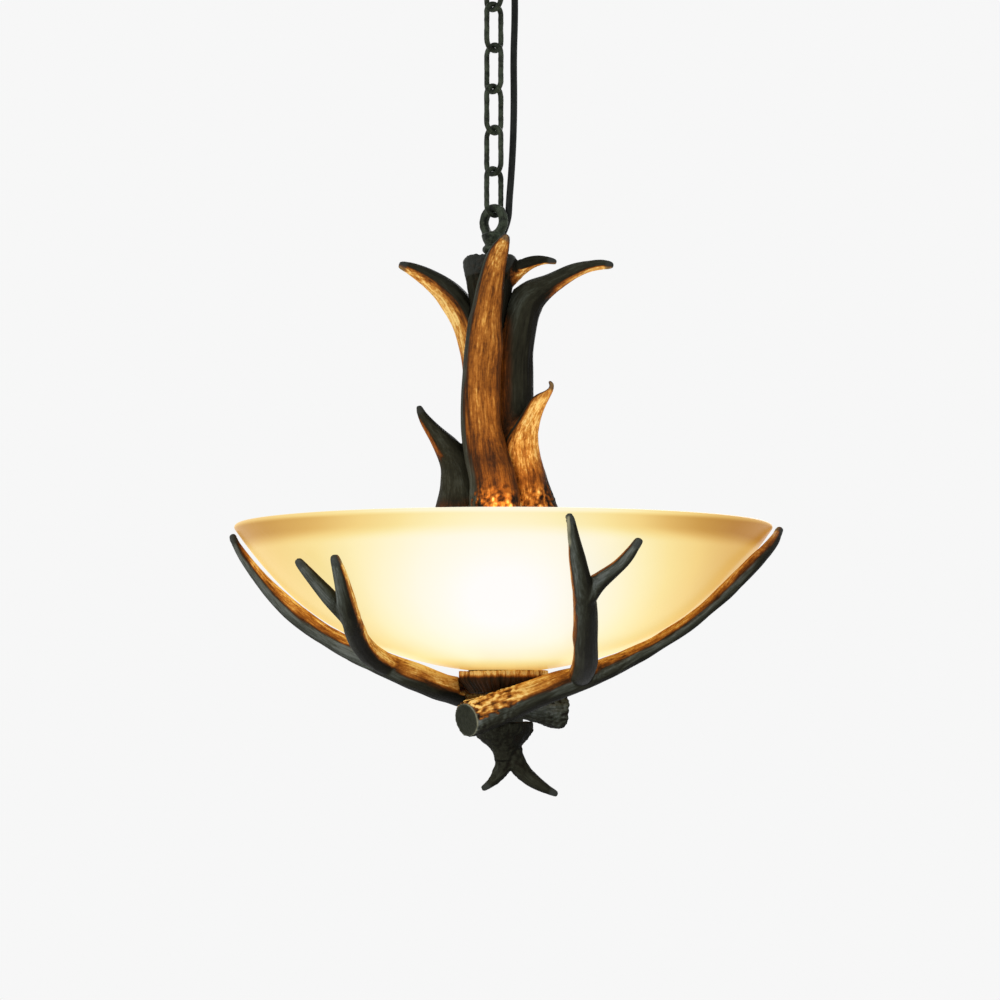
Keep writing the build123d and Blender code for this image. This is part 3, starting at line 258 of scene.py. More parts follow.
def points_of(thing):
    """A mesh's points as rows of three numbers."""
    flat = np.zeros(len(thing.data.vertices) * 3, np.float32)
    thing.data.vertices.foreach_get("co", flat)
    return flat.reshape(-1, 3).astype(float)


def normals_of(thing):
    """A mesh's point normals as rows of three numbers."""
    flat = np.zeros(len(thing.data.vertices) * 3, np.float32)
    thing.data.vertex_normals.foreach_get("vector", flat)
    return flat.reshape(-1, 3).astype(float)


def move_points(thing, points):
    """Writes a mesh's points back."""
    thing.data.vertices.foreach_set("co", points.astype(np.float32).ravel())
    thing.data.update()


def keep_values(thing, name, values):
    """Stores one number or one vector per point under a name that a material can read."""
    kind = "FLOAT_VECTOR" if values.ndim == 2 else "FLOAT"
    field = "vector" if values.ndim == 2 else "value"
    attribute = thing.data.attributes.new(name, kind, "POINT")
    attribute.data.foreach_set(field, values.astype(np.float32).ravel())


def unit(rows):
    """Rows of vectors at length one."""
    return rows / np.maximum(np.linalg.norm(rows, axis=-1, keepdims=True), 1e-9)


def ease(low, high, values):
    """0 below low, 1 above high, smooth between."""
    share = np.clip((values - low) / (high - low), 0, 1)
    return share * share * (3 - 2 * share)


def hashed(cells, seed):
    """An even random number from 0 to 1 for each whole-numbered cell."""
    mixed = cells[..., 0] * 73856093 ^ cells[..., 1] * 19349663 ^ cells[..., 2] * 83492791
    mixed = (mixed ^ seed * 2654435761) & 0xFFFFFFFF
    mixed = (mixed ^ mixed >> 15) * 2246822519 & 0xFFFFFFFF
    mixed = (mixed ^ mixed >> 13) * 3266489917 & 0xFFFFFFFF
    return ((mixed ^ mixed >> 16) & 0xFFFFFF) / 0xFFFFFF


def mottle(points, size, seed):
    """Smooth random values from 0 to 1, with spots about as large as size."""
    spot = points / size
    cell = np.floor(spot).astype(np.int64)
    inside = spot - cell
    inside = inside * inside * (3 - 2 * inside)
    total = np.zeros(len(points))
    for corner in range(8):
        step = np.array([corner & 1, corner >> 1 & 1, corner >> 2 & 1])
        weight = np.prod(np.where(step, inside, 1 - inside), axis=1)
        total += weight * hashed(cell + step, seed)
    return total


def lumps(points, size, seed):
    """Rounded pearls: high at scattered points, falling to zero between them."""
    spot = points / size
    cell = np.floor(spot).astype(np.int64)
    nearest = np.full(len(points), 9.0)
    for step in np.ndindex(3, 3, 3):
        near = cell + np.array(step) - 1
        place = np.stack([hashed(near, seed + axis) for axis in range(3)], axis=1)
        gap = np.linalg.norm(near + place - spot, axis=1)
        nearest = np.minimum(nearest, gap)
    return np.clip(1 - nearest, 0, 1)


# Materials
class Value:
    """A socket's output, with the arithmetic that adds Math nodes."""

    def __init__(self, finish, socket):
        self.finish = finish
        self.socket = socket

    def maths(self, operation, *others):
        return self.finish.add("ShaderNodeMath", {"operation": operation}, [self, *others])

    def __add__(self, other):
        return self.maths("ADD", other)

    def __sub__(self, other):
        return self.maths("SUBTRACT", other)

    def __mul__(self, other):
        return self.maths("MULTIPLY", other)

    def __pow__(self, other):
        return self.maths("POWER", other)

    def __rsub__(self, other):
        return self.finish.add("ShaderNodeMath", {"operation": "SUBTRACT"}, [other, self])

    __radd__ = __add__

    def eased(self, low, high):
        settings = {"interpolation_type": "SMOOTHSTEP"}
        return self.finish.add("ShaderNodeMapRange", settings, [self, low, high, 0, 1])


class Finish:
    """A procedural material around one Principled shader."""

    def __init__(self, name, **constants):
        self.material = bpy.data.materials.new(name)
        self.material.use_nodes = True
        self.tree = self.material.node_tree
        self.shader = self.tree.nodes["Principled BSDF"]
        self.set(**constants)

    def set(self, **inputs):
        """Sets or links the shader's own sockets, named with underscores for spaces."""
        for name, value in inputs.items():
            self.feed(self.shader.inputs[name.replace("_", " ")], value)

    def feed(self, socket, value):
        if isinstance(value, Value):
            self.tree.links.new(value.socket, socket)
        else:
            socket.default_value = value

    def add(self, kind, settings, inputs, output=0):
        """A node: its settings first, then its sockets' values or links."""
        node = self.tree.nodes.new(kind)
        for name, value in settings.items():
            if name == "stops":
                ramp = node.color_ramp
                for place, colour in value[len(ramp.elements):]:
                    ramp.elements.new(place)
                for element, (place, colour) in zip(ramp.elements, value):
                    element.position = place
                    element.color = (*colour, 1)
            else:
                setattr(node, name, value)
        pairs = inputs.items() if isinstance(inputs, dict) else enumerate(inputs)
        for name, value in pairs:
            self.feed(node.inputs[name], value)
        return Value(self, node.outputs[output])

    def place(self):
        """Object coordinates."""
        return self.add("ShaderNodeTexCoord", {}, [], "Object")

    def stored(self, name, output="Fac"):
        """A number or vector kept on the mesh."""
        return self.add("ShaderNodeAttribute", {"attribute_name": name}, [], output)

    def stretched(self, vector, scale):
        return self.add("ShaderNodeVectorMath", {"operation": "MULTIPLY"}, [vector, scale])

    def noise(self, vector, scale, detail=3.0, roughness=0.55, distortion=0.0):
        inputs = {
            "Vector": vector,
            "Scale": scale,
            "Detail": detail,
            "Roughness": roughness,
            "Distortion": distortion,
        }
        return self.add("ShaderNodeTexNoise", {}, inputs)

    def cells(self, vector, scale):
        return self.add("ShaderNodeTexVoronoi", {}, {"Vector": vector, "Scale": scale})

    def ramp(self, value, stops):
        return self.add("ShaderNodeValToRGB", {"stops": stops}, [value])

    def mix(self, factor, first, second, blend="MIX"):
        settings = {"data_type": "RGBA", "blend_type": blend}
        return self.add("ShaderNodeMix", settings, {0: factor, 6: first, 7: second}, 2)

    def bump(self, height, distance, strength=1.0):
        inputs = {"Strength": strength, "Distance": distance, "Height": height}
        self.set(Normal=self.add("ShaderNodeBump", {}, inputs))


def shade(*levels):
    """A colour written as it shows on a screen, 0 to 255, in the numbers that shaders use."""
    whole = [level / 255 for level in levels]
    return tuple(v / 12.92 if v <= 0.04045 else ((v + 0.055) / 1.055) ** 2.4 for v in whole)


def antler_finish():
    """Dark slate antler with the bowl's light painted on as amber and gold, and painted sky light greying
    its dark side.
    """
    finish = Finish("antler_resin", Roughness=0.5)
    finish.shader.inputs["Specular IOR Level"].default_value = 0.04
    place = finish.place()
    grain = finish.stored("grain", "Vector")
    painted_glow = finish.stored("painted_glow")
    painted_sky_light = finish.stored("painted_sky_light")
    burr = finish.stored("burr")
    relief = finish.stored("relief")
    tip = finish.stored("tip")
    cut = finish.stored("cut")
    streak = finish.noise(finish.stretched(grain, (1, 1, 0.11)), 620, 4, 0.62, 0.3)
    hair = finish.noise(finish.stretched(grain, (1, 1, 0.06)), 1500, 2, 0.6)
    band = finish.noise(finish.stretched(grain, (1, 1, 0.07)), 210, 3, 0.6, 0.4)
    cloud = finish.noise(place, 46, 3, 0.6)
    fleck = finish.noise(place, 330, 3, 0.7)
    pits = finish.cells(place, 520)
    grit = (streak - 0.5) * 1.5 + (hair - 0.5) * 0.8 + (band - 0.5) * 1.1
    # Painted light: the bowl's light, stored per point, turns the colour from slate to amber and gold
    # where it falls
    warm = painted_glow + grit * (painted_glow * 0.72 + 0.08) + (cloud - 0.5) * 0.5 * painted_glow
    warm = warm + (fleck - 0.5) * 0.6 * painted_glow
    warm = warm + (relief - 0.5) * (0.2 + burr * 2.0) * (0.2 + painted_glow)
    lit = finish.ramp(
        warm,
        [
            (0.0, shade(16, 14, 8)),
            (0.12, shade(34, 27, 16)),
            (0.28, shade(70, 40, 19)),
            (0.42, shade(110, 62, 24)),
            (0.56, shade(150, 88, 31)),
            (0.7, shade(184, 117, 48)),
            (0.84, shade(220, 160, 76)),
            (1.0, shade(250, 212, 132)),
        ],
    )
    # Painted light: the slate side greys where painted sky light from the front and left falls, and stays
    # near black in painted shade elsewhere
    dusk = painted_sky_light * 0.8 + grit * (painted_sky_light * 0.3 + 0.14) + (cloud - 0.5) * 0.35 + 0.06
    slate = finish.ramp(
        dusk,
        [
            (0.0, shade(8, 8, 5)),
            (0.3, shade(24, 23, 15)),
            (0.55, shade(45, 45, 34)),
            (0.8, shade(72, 75, 66)),
            (1.0, shade(104, 108, 102)),
        ],
    )
    colour = finish.mix(1 - painted_glow.eased(0.0, 0.32), lit, slate)
    depth = (1 - relief.eased(0.2, 0.6)) * (burr * 0.75 + 0.18)
    colour = finish.mix(depth, colour, (*shade(20, 14, 8), 1))
    colour = finish.mix(tip.eased(0.7, 0.98) * 0.75, colour, (*shade(56, 58, 54), 1))
    sawn = finish.ramp(
        relief, [(0.0, shade(38, 40, 30)), (0.6, shade(62, 64, 52)), (1.0, shade(150, 146, 120))]
    )
    colour = finish.mix(cut, colour, sawn)
    finish.set(Base_Color=colour)
    finish.set(Roughness=0.44 + streak * 0.16 + burr * 0.1)
    height = hair * 0.5 + streak * 0.8 + pits * (0.1 + burr * 0.9)
    finish.bump(height, 0.0006, 0.8)
    return finish.material


# The glass's painted glow, in metres: the bright spots' height, shares, stretch and fall
SPOT_Z = -0.6003
SPOT_SHARES = (1.0, 0.58, 0.58)
SPOT_STRETCH = (12.1, 12.1, 6.83)
SPOT_FALL = -2.727
# Bands of painted shade and painted light on the glass: where each band begins and ends, and how much it
# takes or gives
RIM_SHADE, RIM_SHADE_DEPTH = (-0.5523, -0.5397), 0.197
LIP_LIGHT, LIP_LIGHT_GAIN = (-0.5335, -0.5299), 0.176
FOOT_SHADE, FOOT_SHADE_DEPTH = (-0.649, -0.637), 0.24
RIGHT_SHADE, RIGHT_SHADE_DEPTH = (0.07, 0.21), 0.115


def glass_finish():
    """Frosted amber glass whose glow from its three bulbs is painted into its emission, with painted shade
    bands: the front bulb's spot is the brightest.
    """
    finish = Finish("amber_glass", Roughness=0.32, Emission_Strength=1.0)
    finish.shader.inputs["Specular IOR Level"].default_value = 0.08
    place = finish.place()
    across = finish.add("ShaderNodeSeparateXYZ", {}, [place], 0)
    height = finish.add("ShaderNodeSeparateXYZ", {}, [place], 2)
    total = None
    for turn, share in zip(BULB_TURNS, SPOT_SHARES):
        centre = (*round_axis(SPOT_REACH, turn), SPOT_Z)
        away = finish.add("ShaderNodeVectorMath", {"operation": "SUBTRACT"}, [place, centre])
        away = finish.stretched(away, SPOT_STRETCH)
        reach = finish.add("ShaderNodeVectorMath", {"operation": "DOT_PRODUCT"}, [away, away], 1)
        near = (reach + 1) ** SPOT_FALL * share**4
        total = near if total is None else total + near
    cloud = finish.noise(place, 22, 3, 0.5)
    level = total ** 0.25 * (1.035 + cloud * 0.05)
    level = level - height.eased(*RIM_SHADE) * RIM_SHADE_DEPTH
    level = level + height.eased(*LIP_LIGHT) * LIP_LIGHT_GAIN
    level = level - (1 - height.eased(*FOOT_SHADE)) * FOOT_SHADE_DEPTH
    level = level - across.eased(*RIGHT_SHADE) * RIGHT_SHADE_DEPTH
    glowing = finish.ramp(
        level,
        [
            (0.0, shade(176, 122, 46)),
            (0.1, shade(198, 150, 70)),
            (0.2, shade(222, 181, 101)),
            (0.3, shade(241, 211, 133)),
            (0.4, shade(248, 228, 157)),
            (0.5, shade(252, 241, 186)),
            (0.6, shade(254, 247, 209)),
            (0.75, shade(254, 252, 232)),
            (0.87, shade(255, 254, 242)),
            (1.0, shade(255, 255, 254)),
        ],
    )
    body = finish.mix(cloud, (*shade(66, 46, 14), 1), (*shade(78, 56, 18), 1))
    finish.set(Base_Color=body)
    finish.set(Emission_Color=finish.mix(1.0, glowing, (0.95, 0.94, 0.95, 1), "MULTIPLY"))
    finish.set(Roughness=0.28 + cloud * 0.1)
    ripple = finish.noise(place, 120, 2, 0.5)
    finish.bump(ripple, 0.0004, 0.35)
    return finish.material


def metal_finish(name, low, high, metallic, roughness, spot, bump, wear, gloss):
    """A metal or paint with mottled colour, worn spots and a fine surface."""
    finish = Finish(name, Metallic=metallic, Specular_IOR_Level=gloss)
    place = finish.place()
    cloud = finish.noise(place, spot, 5, 0.62)
    fine = finish.noise(place, spot * 9, 3, 0.6)
    colour = finish.mix(cloud.eased(0.32, 0.68), (*shade(*low), 1), (*shade(*high), 1))
    if wear:
        colour = finish.mix(fine.eased(0.56, 0.72) * 0.6, colour, (*shade(*wear), 1))
    finish.set(Base_Color=colour)
    finish.set(Roughness=roughness - 0.06 + cloud * 0.14)
    finish.bump(fine * 0.6 + cloud * 0.7, bump, 0.8)
    return finish.material


def plain_finish(name, low, high, roughness, spot, bump, gloss):
    """Moulded plastic, rubber or resin, faintly uneven in colour and gloss."""
    finish = Finish(name, Specular_IOR_Level=gloss)
    place = finish.place()
    cloud = finish.noise(place, spot, 4, 0.6)
    grit = finish.noise(place, spot * 14, 2, 0.6)
    colour = finish.mix(cloud.eased(0.3, 0.7), (*shade(*low), 1), (*shade(*high), 1))
    finish.set(Base_Color=colour)
    finish.set(Roughness=roughness + (grit - 0.5) * 0.12)
    finish.bump(grit, bump, 0.7)
    return finish.material


def lamp_finish():
    """A frosted bulb, lit evenly from inside, its colour faintly clouded."""
    finish = Finish("lamp_glass", Roughness=0.4, Emission_Strength=2.2)
    place = finish.place()
    cloud = finish.noise(place, 60, 2, 0.5)
    warm = finish.mix(cloud, (*shade(255, 222, 160), 1), (*shade(255, 238, 200), 1))
    finish.set(Base_Color=(0.8, 0.78, 0.7, 1))
    finish.set(Emission_Color=warm)
    return finish.material


# Colours low and high, metallic, roughness, spots to a metre, bump, worn colour, gloss
METALS = {
    "bronze_metal": ((20, 24, 18), (58, 66, 52), 0.35, 0.46, 170, 0.0005, (92, 90, 66), 0.12),
    "dark_steel": ((30, 30, 26), (54, 54, 47), 0.5, 0.5, 90, 0.0001, None, 0.15),
    "zinc_steel": ((150, 152, 152), (186, 188, 186), 0.9, 0.36, 60, 0.00006, None, 0.5),
    "brass": ((168, 130, 66), (204, 166, 92), 0.95, 0.3, 60, 0.00004, None, 0.5),
    "cap_metal": ((176, 174, 168), (212, 210, 204), 0.95, 0.28, 90, 0.00004, None, 0.5),
}
# Colours low and high, roughness, spots to a metre, bump, gloss
PLASTICS = {
    "cord_jacket": ((14, 16, 14), (28, 30, 27), 0.5, 180, 0.00008, 0.1),
    "terminal_plastic": ((214, 210, 196), (232, 228, 216), 0.45, 90, 0.00004, 0.5),
    "holder_plastic": ((30, 28, 25), (46, 42, 38), 0.42, 90, 0.00005, 0.5),
    "gasket_rubber": ((28, 26, 24), (44, 40, 36), 0.8, 120, 0.00008, 0.5),
}
FINISHES = {}


def finishes():
    """Every finish of the pendant, made once."""
    if not FINISHES:
        FINISHES["antler_resin"] = antler_finish()
        FINISHES["amber_glass"] = glass_finish()
        FINISHES["lamp_glass"] = lamp_finish()
        for name, looks in METALS.items():
            FINISHES[name] = metal_finish(name, *looks)
        for name, looks in PLASTICS.items():
            FINISHES[name] = plain_finish(name, *looks)
    return FINISHES


def finish_piece(thing, slot, body=None):
    """Gives a new piece its finish and slot, and the body that it rides on."""
    thing.data.materials.clear()
    thing.data.materials.append(finishes()[slot])
    if body:
        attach(thing, body)


# Carved pieces: steps between stations, how far a cast stands out and its horns blend, in mm
STEPS_A_SPAN = 24
CAST_GROWTH = 0.22
BLEND_WIDTH = 2.2


class Horn:
    """A horn's centre line in even steps, with its radius, direction and length so far."""

    def __init__(self, stations, about):
        rows = np.array([point for point, radius in stations], float) * MM
        radii = np.array([radius for point, radius in stations], float) * MM
        padded = np.vstack([2 * rows[0] - rows[1], rows, 2 * rows[-1] - rows[-2]])
        line, widths = [], []
        for span in range(len(rows) - 1):
            before, start, end, after = padded[span:span + 4]
            for share in np.linspace(0, 1, STEPS_A_SPAN, endpoint=False):
                line.append(
                    0.5
                    * (
                        2 * start
                        + (end - before) * share
                        + (2 * before - 5 * start + 4 * end - after) * share**2
                        + (3 * start - before - 3 * end + after) * share**3
                    )
                )
                widths.append(radii[span] * (1 - share) + radii[span + 1] * share)
        self.line = np.array(line + [rows[-1]])
        self.width = np.array(widths + [radii[-1]])
        self.run = unit(np.gradient(self.line, axis=0))
        steps = np.linalg.norm(np.diff(self.line, axis=0), axis=1)
        self.along = np.concatenate([[0], np.cumsum(steps)])
        side = self.line - about if about is not None else np.array([[0.0, 1.0, 0.0]])
        self.across = unit(np.cross(self.run, side + 0 * self.line))
        self.outward = np.cross(self.across, self.run)

    def read(self, points):
        """Distance to the horn's surface, place in its own grain, share and rest of its length."""
        gaps, places = [], []
        for block in np.array_split(points, max(1, len(points) // 4000)):
            apart = np.linalg.norm(block[:, None] - self.line[None], axis=2) - self.width
            spot = apart.argmin(axis=1)
            gaps.append(apart[np.arange(len(block)), spot])
            places.append(spot)
        gap, spot = np.concatenate(gaps), np.concatenate(places)
        away = points - self.line[spot]
        local = np.stack(
            [
                (away * self.across[spot]).sum(1),
                (away * self.outward[spot]).sum(1),
                (away * self.run[spot]).sum(1) + self.along[spot],
            ],
            axis=1,
        )
        return gap, local, self.along[spot] / self.along[-1], self.along[-1] - self.along[spot]


# Painted light: these rules give how much of the bowl's light is painted onto an antler's points
def facing(direction, low, high, gain, start=-1.0, end=2.0, soft=0.07):
    """Light on the surface that turns toward a direction, over a share of the horn's length."""

    def rule(points, normals, share):
        towards = direction(points) if callable(direction) else unit(np.array(direction, float))
        span = ease(start - soft, start + soft, share) * (1 - ease(end - soft, end + soft, share))
        return ease(low, high, (normals * towards).sum(1)) * gain * span

    return rule


def beside(near, far, gain, bottom, top):
    """Light on the front that fades to the right between two places in x, between two heights."""

    def rule(points, normals, share):
        across, height = points[:, 0] / MM, points[:, 2] / MM
        span = ease(bottom - 14, bottom + 14, height) * (1 - ease(top - 14, top + 14, height))
        return (1 - ease(near, far, across)) * gain * span * ease(-0.2, 0.5, -normals[:, 1])

    return rule


def above(low, high, gain):
    """Light that grows from one height to another."""

    def rule(points, normals, share):
        return ease(low, high, points[:, 2] / MM) * gain

    return rule


def carve(node, name, horns, about, voxel, groove, burrs, pearl, lit, slate, swells=(), sawn=False):
    """An antler cast from a frame node: grooved along its horns, pitted and lumped at its burrs, with
    painted light kept on its points.
    """
    thing = merged_copy(node, name)
    applied(thing, "REMESH", mode="VOXEL", voxel_size=voxel, use_smooth_shade=True)
    applied(thing, "SMOOTH", factor=0.5, iterations=3)
    points = points_of(thing)
    move_points(thing, points + normals_of(thing) * CAST_GROWTH * MM)
    points = points_of(thing)
    normals = normals_of(thing)
    lines = [Horn(stations, about) for stations in horns]
    readings = [line.read(points) for line in lines]
    for count in range(1, len(lines)):
        start = lines[count].line[:1]
        parents = [line.read(start) for line in lines[:count]]
        nearest = min(parents, key=lambda reading: reading[0][0])
        readings[count][1][:, 2] += nearest[1][0, 2]
    gaps = np.stack([reading[0] for reading in readings])
    weights = np.exp(-(gaps - gaps.min(0)) / (BLEND_WIDTH * MM))
    weights = weights / weights.sum(0)
    grain = sum(weight[:, None] * reading[1] for weight, reading in zip(weights, readings))
    rest = sum(weight * reading[3] for weight, reading in zip(weights, readings))
    tip = 1 - ease(4 * MM, 16 * MM, rest)
    burr = np.zeros(len(points))
    for centre, reach, strength in burrs:
        apart = np.linalg.norm(points - np.array(centre) * MM, axis=1)
        burr = np.maximum(burr, strength * (1 - ease(reach * 0.45 * MM, reach * MM, apart)))
    slim = np.zeros(len(points))
    for weight, reading, line in zip(weights, readings, lines):
        slim += weight * line.width[(reading[2] * (len(line.width) - 1)).astype(int)]
    slim = np.clip(slim / (9 * MM), 0.25, 1)
    long_way = grain * np.array([1, 1, 0.10])
    broad = mottle(long_way, 5.2 * MM, 3)
    ridge = 1 - np.abs(mottle(long_way, 3.1 * MM, 7) * 2 - 1)
    slow = mottle(points, 19 * MM, 11)
    pearls = lumps(points, pearl * MM, 17) * 0.65 + lumps(points, pearl * 0.55 * MM, 23) * 0.35
    fleck = mottle(grain * np.array([1, 1, 0.35]), 2.3 * MM, 29)
    carving = (broad - 0.5) * groove * 1.2 + (0.5 - ridge) * groove * 0.9
    carving = carving * slim * (1 - tip * 0.7) * (1 - burr * 0.5)
    swelling = (slow - 0.5) * 1.3 * slim
    burring = burr * ((pearls - 0.42) * pearl * 0.62 + (fleck - 0.5) * 0.9)
    blunt = (1 - ease(0, 10 * MM, rest)) * (1 - ease(0.25, 0.6, slim)) * 0.8
    cut = np.zeros(len(points))
    if sawn:
        inward = unit(np.array(SAWN_INWARD, float))
        apart = np.abs((points / MM - np.array(SAWN_POINT)) @ inward)
        cut = ease(0.7, 0.95, -(normals @ inward)) * (1 - ease(1.4, 2.6, apart))
    shape = (carving + swelling + burring + blunt) * (1 - cut)
    for direction, amount, low, high in swells:
        towards = ease(0.15, 0.9, normals @ unit(np.array(direction, float)))
        shape = shape + towards * amount * (1 - ease(low, high, points[:, 2] / MM))
    move_points(thing, points + normals * (shape * MM)[:, None])
    relief = 0.5 + (carving + (fleck - 0.5) * 0.3) / (groove * 3.2) * (1 - burr)
    relief = relief + burr * ((pearls - 0.42) * 1.1 + (fleck - 0.5) * 0.5)
    rim = ease(-2.8 * MM, -0.6 * MM, gaps.min(0)) * 0.7 + fleck * 0.3
    relief = relief * (1 - cut) + rim * cut
    normals = normals_of(thing)
    # Painted light: each horn's rules give the bowl's light on its surface, and the sky term gives painted
    # sky light toward the front and left, scaled by slate
    painted_glow = np.zeros(len(points))
    for count, rules in lit.items():
        lights = [rule(points, normals, readings[count][2]) for rule in rules]
        painted_glow += np.max(lights, axis=0) * weights[count]
    painted_sky_light = ease(-0.25, 1.0, normals @ unit(np.array([-0.5, -0.85, 0.2]))) * slate
    keep_values(thing, "grain", grain)
    keep_values(thing, "painted_glow", painted_glow)
    keep_values(thing, "painted_sky_light", painted_sky_light)
    keep_values(thing, "cut", cut)
    keep_values(thing, "burr", np.clip(burr, 0, 1))
    keep_values(thing, "relief", np.clip(relief, 0, 1))
    keep_values(thing, "tip", tip)
    finish_piece(thing, "antler_resin", "lamp")
    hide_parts(node)
    return thing


SPHERE_CENTRE = np.array([BOWL_X, 0, SPHERE_Z]) * MM
HOT_SPOT_Z = -598
HOT_SPOTS = np.array([(*round_axis(SPOT_REACH, turn), HOT_SPOT_Z * MM) for turn in BULB_TURNS])


def toward_glass(points):
    """From a point of an arm toward the glass beside it and the bright spot that is nearest."""
    inward = unit(SPHERE_CENTRE - points)
    spans = np.linalg.norm(points[:, None] - HOT_SPOTS[None], axis=2)
    spot = HOT_SPOTS[spans.argmin(axis=1)]
    return unit(inward * 0.75 + unit(spot - points) * 0.75)


BACK_LIGHT = facing((0, 1, -0.25), 0.35, 0.95, 0.6)


class PENDANT_OT_trunk(bpy.types.Operator):
    """The three antlers of the trunk and its crown"""

    bl_idname = "pendant.trunk"
    bl_label = "Trunk antlers"

    def execute(self, context):
        sizes = context.scene.pendant_sizes
        voxel = sizes.antler_grid
        groove = sizes.groove_depth / MM
        foot = [((8, -4, -560), 78, 1.0)]
        carve(
            "stem_antler_front", "trunk_antler_front", [FRONT_BEAM], None, voxel, groove,
            foot + [((-4, -32, -518), 30, 0.8)], 4.4,
            {
                0: [
                    facing((0.15, -1, -0.1), 0.1, 0.95, 0.62, 0.25, 2, 0.16),
                    facing((0.15, -1, 0.1), 0.45, 0.95, 0.8, 0.84),
                    facing((0.3, -1, 0), 0.2, 0.9, 0.5, -1, 0.35, 0.2),
                    facing((0.85, -0.5, 0), 0.1, 0.7, 0.4, -1, 0.7, 0.1),
                ]
            },
            0.85, [((1, -0.2, 0), 3.8, -385, -350), ((1, -0.2, 0), 2.6, -500, -440)],
        )
        carve(
            "stem_antler_right", "trunk_antler_right", [RIGHT_BEAM, RIGHT_BROW], None, voxel, groove,
            foot + [((36, -14, -518), 32, 0.8)], 4.4,
            {
                0: [
                    beside(5, 23, 0.42, -450, -350),
                    beside(22, 42, 0.52, -600, -455),
                    facing((0, -0.5, -1), 0.62, 0.92, 0.9, 0.6),
                    facing((0.1, -1, -0.2), 0.3, 0.9, 0.45, -1, 0.14),
                    BACK_LIGHT,
                ],
                1: [
                    facing((0.3, -0.95, -0.2), -0.15, 0.7, 0.82, 0.22, 2, 0.22),
                    facing((0.2, -0.95, -0.2), 0.1, 0.9, 0.6, -1, 0.4, 0.25),
                ],
            },
            0.65, [((1, 0, 0), 3.6, -524, -490), ((-1, -0.4, 0), 3.0, -470, -440)],
        )
        carve(
            "stem_antler_left", "trunk_antler_left", [LEFT_BEAM, LEFT_BROW], None, voxel, groove,
            foot, 4.4,
            {
                0: [
                    facing((-0.5, -0.5, -0.85), 0.25, 0.85, 0.9, 0.45),
                    beside(60, 80, 0.34, -600, -508),
                    BACK_LIGHT,
                ],
                1: [
                    facing((-0.45, -0.4, -0.9), 0.62, 0.95, 0.7),
                    beside(60, 80, 0.34, -600, -508),
                    BACK_LIGHT,
                ],
            },
            0.62, [((-1, 0, 0), 4.4, -524, -490)],
        )
        carve(
            "crown", "crown_burr", [CROWN_CORE, CROWN_TINE], None, voxel * 0.8, groove,
            [((-3, 0, -312), 30, 0.9)], 4.0,
            {0: [facing((0, -1, -0.6), 0.6, 1, 0.16)], 1: [facing((0.3, -0.5, -0.9), 0.45, 0.9, 0.85)]},
            0.42,
        )
        return {"FINISHED"}


class PENDANT_OT_arms(bpy.types.Operator):
    """The three forked antlers that cup the bowl"""

    bl_idname = "pendant.arms"
    bl_label = "Bowl antlers"

    def execute(self, context):
        sizes = context.scene.pendant_sizes
        voxel = sizes.antler_grid
        groove = sizes.groove_depth / MM
        root = facing((-0.05, -0.45, 1), 0.0, 0.8, 0.8, -1, 0.3)
        back = [facing(toward_glass, -0.1, 0.6, 0.95)]
        sets = [
            ("right", [RIGHT_ARM_BEAM, RIGHT_ARM_FORK, RIGHT_ARM_TINE],
             [((-26, -42, -686), 34, 1.0), ((6, -46, -672), 26, 0.6)],
             {
                 0: [facing((-0.6, -0.2, 0.78), -0.1, 0.95, 0.8, 0.26), root],
                 1: [facing(toward_glass, -0.22, 0.35, 0.62)],
                 2: [facing(toward_glass, -0.22, 0.4, 0.5)],
             }),
            ("left", [LEFT_ARM_BEAM, LEFT_ARM_FORK, LEFT_ARM_TINE],
             [((60, 36, -680), 42, 1.0)],
             {
                 0: [facing((0.62, -0.22, 0.72), -0.15, 0.8, 0.84, 0.4, 0.97),
                     facing((0.2, -0.4, 1), -0.25, 0.65, 0.95, 0.1, 0.48, 0.06)],
                 1: [facing((0.85, -0.1, 0.35), 0.3, 0.9, 0.9), facing(toward_glass, -0.15, 0.5, 0.5)],
                 2: [facing((0.4, 0.1, 0.9), 0.5, 1.0, 0.36)],
             }),
            ("back", [BACK_ARM_BEAM, BACK_ARM_FORK, BACK_ARM_TINE],
             [((13, 48, -677), 24, 0.8)],
             {0: back, 1: back, 2: back}),
        ]
        for place, horns, burrs, lit in sets:
            carve(
                f"arm_antler_{place}", f"bowl_antler_{place}", horns, SPHERE_CENTRE, voxel, groove,
                burrs, 4.2, lit, 1.12, sawn=place == "right",
            )
        return {"FINISHED"}


BURR_FOOT_Z = -722


